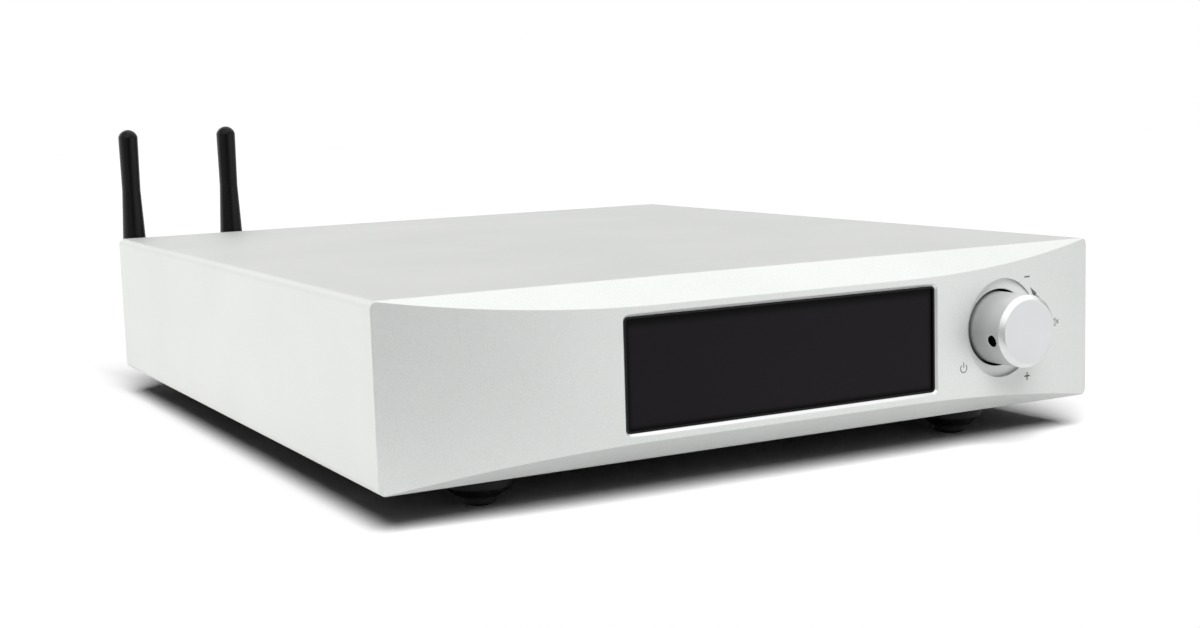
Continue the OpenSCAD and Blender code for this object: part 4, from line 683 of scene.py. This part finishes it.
def lineThrough(*points):
    # straight runs between points, four steps to each
    points = np.asarray(points, float)
    steps = np.arange(0, len(points) - 1 + 1e-6, 0.25)
    return np.stack([np.interp(steps, np.arange(len(points)), points[:, i]) for i in range(2)], -1)


def arcThrough(centre, radius, start, end, count=24):
    turn = np.radians(np.linspace(start, end, count))
    return np.stack([centre[0] + radius * np.cos(turn), centre[1] + radius * np.sin(turn)], -1)


def buildMarks():
    width, count = marks["width"], marks["arcCount"]
    minus, plus = marks["minusHalf"], marks["plusHalf"]
    low, high = marks["powerBar"]
    # each sign's strokes about its own place, and their share of the full width
    signs = {
        "minus": (1, [lineThrough((-minus, 0), (minus, 0))]),
        "plus": (1, [lineThrough((-plus, 0), (plus, 0)), lineThrough((0, -plus), (0, plus))]),
        "power": (marks["powerShare"], [arcThrough((0, 0), marks["powerR"], *marks["powerSpan"], count),
                                        lineThrough((0, low), (0, high))]),
        "mute": (marks["muteShare"], [lineThrough(*run) for run in marks["speaker"]])}
    strokes = [inkStroke(path + np.array(marks[sign]), width * share)
               for sign, (share, paths) in signs.items() for path in paths]
    # arcs round the knob from the mute mark to both arrowheads, the lower ones mirrored
    arc = arcThrough(marks["arcCentre"], marks["arcR"], *marks["arcSpan"], count)
    head = lineThrough(*marks["arrow"])
    for flip in (1, -1):
        for path, wide in ((arc, width * marks["arcShare"]), (head, np.linspace(*marks["arrowWidth"], len(head)))):
            strokes.append(inkStroke(np.stack([path[:, 0], midZ + flip * (path[:, 1] - midZ)], -1), wide))
    buildPiece("frontMarks", strokes, frontInk, "chassis")


buildMarks()

# the mains switch: on and off signs that ride on the rocker's two faces
rocker = {"x": 45.417, "pivotY": 259.0, "rise": 4.0, "tilt": 10.0, "signAt": 3.7, "sign": 1.25, "width": 0.5}


def onRocker(path, lift):
    # the two faces rise by the tilt from their valley to both ends, and the whole is tipped by the tilt
    tilt = math.radians(rocker["tilt"])
    out = rocker["rise"] + np.abs(path[:, 1]) * math.tan(tilt) + lift
    return np.stack([rocker["x"] + path[:, 0],
                     rocker["pivotY"] + out * math.cos(tilt) + path[:, 1] * math.sin(tilt),
                     midZ - out * math.sin(tilt) + path[:, 1] * math.cos(tilt)], -1)


def buildSigns():
    at, size = rocker["signAt"], rocker["sign"]
    on = inkStroke(lineThrough((0, at - size), (0, at + size)), rocker["width"], onRocker)
    off = inkStroke(arcThrough((0, -at), size, 0, 360, 40), rocker["width"], onRocker)
    buildPiece("rockerSigns", [on, off], signInk, "rocker")


buildSigns()

# sockets at the back: insulators, contacts and screws with crossed slots
sockets = {
    "lan": {"x": -88.6, "face": 261.8, "floor": 249.4, "half": 5.9, "top": 21.5, "ledge": 13.9,
            "notchHalf": 3.0, "notch": 11.7, "slack": 0.04, "wall": 0.7, "set": 0.3, "sunk": 0.5,
            "wires": 8, "pitch": 1.02, "wire": (0.42, 0.3), "wireFrom": (1.6, 0.9), "wireTo": (2.0, 4.4)},
    "usb": {"x": -49.317, "centres": (12.9, 20.3), "half": 5.0, "under": -0.1, "over": 1.9, "floor": 251.9,
            "front": 260.95, "chamfer": 0.35, "contacts": (-3.5, -1.0, 1.0, 3.5), "contact": (1.0, 0.1),
            "contactLift": 0.02, "contactFrom": 1.0, "contactTo": 0.8},
    "xlr": {"x": 16.333, "z": 24.5, "radius": 8.15, "floor": 248.0, "thick": 0.6},
    "coax": {"x": -10.45, "z": 14.4, "inner": 1.7, "outer": 3.3, "end": 269.6, "proud": 0.12},
    "screw": {"head": 2.8, "cone": 1.4, "shank": 1.45, "arm": 1.55, "slot": 0.36, "deep": 1.0, "round": 0.12,
              "taper": 0.8, "point": 0.2,
              "flanges": ((66.5, 24.5), (106.5, 24.5), (25.833, 12.5), (6.833, 36.5))}}


def bar(start, end, across, thick):
    # a four-sided bar from start to end; across is its width along x, thick its depth under the line
    corners = np.array([[-across / 2, 0, 0], [across / 2, 0, 0], [across / 2, 0, -thick], [-across / 2, 0, -thick]])
    points, faces = loopStack([corners + np.asarray(place) for place in (start, end)])
    return points, np.concatenate([faces, [[0, 1, 2, 3], [4, 5, 6, 7]]])


def lanOutline(inset, y):
    # the plug's opening, a wide rectangle on a narrow latch notch, drawn in by the inset
    lan = sockets["lan"]
    half, notch = lan["half"] - inset, lan["notchHalf"] - inset
    top, ledge, low = lan["top"] - inset, lan["ledge"] + inset, lan["notch"] + inset
    x = np.array([-half, half, half, notch, notch, -notch, -notch, -half]) + lan["x"]
    z = np.array([top, top, ledge, ledge, low, low, ledge, ledge])
    return np.stack([x, np.full(8, y), z], -1)


def tongue(centre):
    # a rectangle carried out from the socket's floor, drawn in at its front for the chamfer
    usb = sockets["usb"]
    loops = []
    for y, inset in ((usb["floor"], 0), (usb["front"] - usb["chamfer"], 0), (usb["front"], usb["chamfer"])):
        x = np.array([-1, 1, 1, -1]) * (usb["half"] - inset) + usb["x"]
        low, high = centre + usb["under"] + inset, centre + usb["over"] - inset
        loops.append(np.stack([x, np.full(4, y), np.array([low, low, high, high])], -1))
    points, faces = loopStack(loops)
    return points, np.concatenate([faces, [[0, 1, 2, 3], [8, 9, 10, 11]]])


def buildInsulators():
    lan, xlr, coax = sockets["lan"], sockets["xlr"], sockets["coax"]
    front = lan["face"] - lan["set"]
    loops = [lanOutline(lan["slack"], lan["floor"] - lan["sunk"]), lanOutline(lan["slack"], front),
             lanOutline(lan["wall"], front), lanOutline(lan["wall"], lan["floor"])]
    black = [loopStack(loops), flatCap(loops[0]), flatCap(loops[-1])]
    black += [tongue(centre) for centre in sockets["usb"]["centres"]]
    top = xlr["floor"] + xlr["thick"]
    disc = [(0, xlr["floor"]), (xlr["radius"], xlr["floor"]), (xlr["radius"], top), (0, top)]
    black.append(turnedAbout(disc, (xlr["x"], 0, xlr["z"]), 1))
    buildPiece("socketInsulators", black, mouldedBlack, "chassis")
    low, high = coax["end"] - coax["proud"], coax["end"] + coax["proud"]
    ring = [(coax["inner"], low), (coax["outer"], low), (coax["outer"], high), (coax["inner"], high),
            (coax["inner"], low)]
    white = [turnedAbout(ring, (coax["x"], 0, coax["z"]), 1)]
    buildPiece("coaxInsulator", white, mouldedNylon, "chassis")


def buildContacts():
    lan, usb = sockets["lan"], sockets["usb"]
    contacts = []
    for x in lan["x"] + (np.arange(lan["wires"]) - (lan["wires"] - 1) / 2) * lan["pitch"]:
        # each wire leaves the roof near the front and slopes down to the back
        start = (x, lan["face"] - lan["wireFrom"][0], lan["top"] - lan["wireFrom"][1])
        end = (x, lan["floor"] + lan["wireTo"][0], lan["top"] - lan["wireTo"][1])
        contacts.append(bar(start, end, *lan["wire"]))
    for centre in usb["centres"]:
        z = centre + usb["under"] + usb["contactLift"]
        for x in usb["x"] + np.array(usb["contacts"]):
            start, end = (x, usb["floor"] + usb["contactFrom"], z), (x, usb["front"] - usb["contactTo"], z)
            contacts.append(bar(start, end, *usb["contact"]))
    buildPiece("socketContacts", contacts, gildedBrass, "chassis")


def crossedScrew(x, face, z, reach):
    # loops round the screw's line: shank, cone and flat head, then the slot. The slot's outline at each angle is the
    # arm's end, or the arm's side where that is nearer
    screw = sockets["screw"]
    edge = math.atan2(screw["slot"], screw["arm"])
    eighth = np.array([0, edge / 2, edge, (edge + math.pi / 4) / 2])
    turn = np.concatenate([k * math.pi / 2 + np.concatenate([eighth, [math.pi / 4], math.pi / 2 - eighth[:0:-1]])
                           for k in range(4)])
    larger = np.maximum(np.abs(np.cos(turn)), np.abs(np.sin(turn)))
    smaller = np.minimum(np.abs(np.cos(turn)), np.abs(np.sin(turn)))
    slot = np.minimum(screw["arm"] / larger, screw["slot"] / np.maximum(smaller, 1e-6))
    rim = screw["head"] - screw["round"]
    profile = ((0, face - reach), (screw["shank"], face - reach), (screw["shank"], face - screw["cone"]),
               (screw["head"], face - screw["round"]), (rim, face), (slot, face),
               (slot * screw["taper"], face - screw["deep"]), (0, face - screw["deep"] - screw["point"]))
    return loopStack([np.stack([x + radius * np.cos(turn), np.full(len(turn), y), z + radius * np.sin(turn)], -1)
                      for radius, y in profile])


def buildScrews():
    screw = sockets["screw"]
    low, high = nodeBox("rear_screws")
    patches = [crossedScrew(x, high[1], z, high[1] - low[1])
               for x in (low[0] + screw["head"], high[0] - screw["head"])
               for z in (low[2] + screw["head"], high[2] - screw["head"])]
    low, high = nodeBox("socket_screws")
    patches += [crossedScrew(x, high[1], z, high[1] - low[1]) for x, z in screw["flanges"]]
    buildPiece("crossedScrews", patches, zincSteel, "chassis", ("rear_screws", "socket_screws"))


buildInsulators()
buildContacts()
buildScrews()

# camera at the photograph's place: case millimetres, degrees, focal length in pixels of a 1200 wide picture
view = {
    "eye": (-264.19, -388.88, 96.56), "yaw": 28.421, "pitch": 7.254, "roll": -1.782,
    "focal": 1703.7, "width": 1200, "sensor": 36.0, "near": 0.01}
yaw, pitch, roll = (math.radians(view[key]) for key in ("yaw", "pitch", "roll"))
forward = Vector((math.sin(yaw) * math.cos(pitch), math.cos(yaw) * math.cos(pitch), -math.sin(pitch)))
level = Vector((math.cos(yaw), -math.sin(yaw), 0))
upright = level.cross(forward)
right = level * math.cos(roll) + upright * math.sin(roll)
up = upright * math.cos(roll) - level * math.sin(roll)
lens = bpy.data.cameras.new("photoCamera")
lens.sensor_fit = "HORIZONTAL"
lens.sensor_width = view["sensor"]
lens.lens = view["focal"] * view["sensor"] / view["width"]
lens.clip_start = view["near"]
camera = bpy.data.objects.new("photoCamera", lens)
bpy.context.scene.collection.objects.link(camera)
axes = Matrix((right, up, -forward)).transposed().to_4x4()
camera.matrix_world = Matrix.Translation(toFrame(view["eye"])) @ axes
bpy.context.scene.camera = camera

# studio: a pale floor that keeps the shadow, a wide lamp from the upper front, a soft dome for what metal mirrors
studio = {
    "floorX": (-2.5, 2.5), "floorY": (-0.21, 3.5), "floorCount": 12,
    # floor levels: thrown back, mirrored on the right and on the left of the card's soft edge, in the picture
    "bounce": 0.53, "mirrored": (1.22, 1.8), "cardEdge": (-0.16, -0.11), "white": 1.4,
    "fill": 0.035, "base": 0.52,
    # direction as azimuth from the back towards the right and elevation, inner and outer angle, strength
    "lobes": ((80, 62, 15, 48, 0.95), (-10, 10, 25, 75, 0.1), (-60, 5, 15, 50, 0.72), (141, -8, 8, 46, 0.92),
              (208, 50, 15, 50, 0.9), (-12, 36, 6, 30, 0.95), (182, -10, 8, 34, -0.44)),
    # the key light is a far, wide soft source: azimuth and elevation of where it comes from, angle across, strength
    "key": (201, 51, 38, 2.9)}


def mirrorRay(tree, seen):
    # 1 for a ray that metal mirrors on its way to the picture, 0 once it has met a matt surface
    early = addNode(tree, "ShaderNodeMath", {0: seen.outputs["Diffuse Depth"], 1: 0.5}, operation="LESS_THAN")
    return addNode(tree, "ShaderNodeMath", {
        0: seen.outputs["Is Glossy Ray"], 1: early.outputs[0]}, operation="MULTIPLY").outputs[0]


def buildFloor():
    # a flat grid just under the feet
    count = studio["floorCount"]
    x, y = np.linspace(*studio["floorX"], count), np.linspace(*studio["floorY"], count)
    points = np.stack([np.tile(x, count), np.repeat(y, count), np.full(count ** 2, cadBox[0].z)], -1)
    mesh = bpy.data.meshes.new("paleFloor")
    mesh.from_pydata(points.tolist(), [], gridQuads(count, count).tolist())
    material, tree, place = startFinish("paintedFloor")
    # one level for the light that it throws back, one for metal that mirrors it, one for the picture
    # what metal mirrors is lighter on the left, as with a white card that lies there
    seen = addNode(tree, "ShaderNodeLightPath")
    across = addNode(tree, "ShaderNodeSeparateXYZ", {0: place}).outputs["X"]
    (plain, card), (cardFrom, cardTo) = studio["mirrored"], studio["cardEdge"]
    mirrored = addNode(tree, "ShaderNodeMapRange", {
        "Value": across, "From Min": cardFrom, "From Max": cardTo, "To Min": card, "To Max": plain}).outputs[0]
    level = studio["bounce"]
    for ray, tone in ((mirrorRay(tree, seen), mirrored), (seen.outputs["Is Camera Ray"], studio["white"])):
        level = addNode(tree, "ShaderNodeMix", {0: ray, 2: level, 3: tone}).outputs[0]
    paint = addNode(tree, "ShaderNodeBsdfDiffuse", {"Color": level})
    addNode(tree, "ShaderNodeOutputMaterial", {"Surface": paint.outputs[0]})
    mesh.materials.append(material)
    floor = bpy.data.objects.new("paleFloor", mesh)
    bpy.context.scene.collection.objects.link(floor)


def compass(azimuth, elevation):
    # unit vector: azimuth turns from the back towards the right, elevation lifts from the floor
    a, e = math.radians(azimuth), math.radians(elevation)
    return Vector((math.sin(a) * math.cos(e), math.cos(a) * math.cos(e), math.sin(e)))


def buildLight():
    world = bpy.data.worlds.new("studioDome")
    world.use_nodes = True
    tree = world.node_tree
    tree.nodes.clear()
    ray = addNode(tree, "ShaderNodeTexCoord").outputs["Generated"]
    total = studio["base"]
    for azimuth, elevation, inner, outer, strength in studio["lobes"]:
        near = addNode(tree, "ShaderNodeVectorMath", {
            0: ray, 1: compass(azimuth, elevation)}, operation="DOT_PRODUCT")
        lobe = addNode(tree, "ShaderNodeMapRange", {
            "Value": near.outputs["Value"], "From Min": math.cos(math.radians(outer)),
            "From Max": math.cos(math.radians(inner)), "To Max": strength}, interpolation_type="SMOOTHSTEP")
        total = addNode(tree, "ShaderNodeMath", {0: total, 1: lobe.outputs[0]}, operation="ADD").outputs[0]
    dome = addNode(tree, "ShaderNodeBackground", {"Color": (1, 1, 1, 1), "Strength": total})
    fill = addNode(tree, "ShaderNodeBackground", {"Color": (1, 1, 1, 1), "Strength": studio["fill"]})
    backdrop = addNode(tree, "ShaderNodeBackground", {"Color": (1, 1, 1, 1), "Strength": 1.0})
    seen = addNode(tree, "ShaderNodeLightPath")
    mixed = addNode(tree, "ShaderNodeMixShader", {
        0: mirrorRay(tree, seen), 1: fill.outputs[0], 2: dome.outputs[0]})
    mixed = addNode(tree, "ShaderNodeMixShader", {
        0: seen.outputs["Is Camera Ray"], 1: mixed.outputs[0], 2: backdrop.outputs[0]})
    addNode(tree, "ShaderNodeOutputWorld", {"Surface": mixed.outputs[0]})
    bpy.context.scene.world = world
    azimuth, elevation, across, strength = studio["key"]
    softbox = bpy.data.lights.new("softbox", "SUN")
    softbox.angle = math.radians(across)
    softbox.energy = strength
    lamp = bpy.data.objects.new("softbox", softbox)
    bpy.context.scene.collection.objects.link(lamp)
    lamp.rotation_euler = (-compass(azimuth, elevation)).to_track_quat("-Z", "Y").to_euler()
    lamp.visible_glossy = False     # metal mirrors the wide lobes in its place, so that no view clips


buildFloor()
buildLight()
bpy.context.scene.view_settings.view_transform = "Standard"
print("studio set")
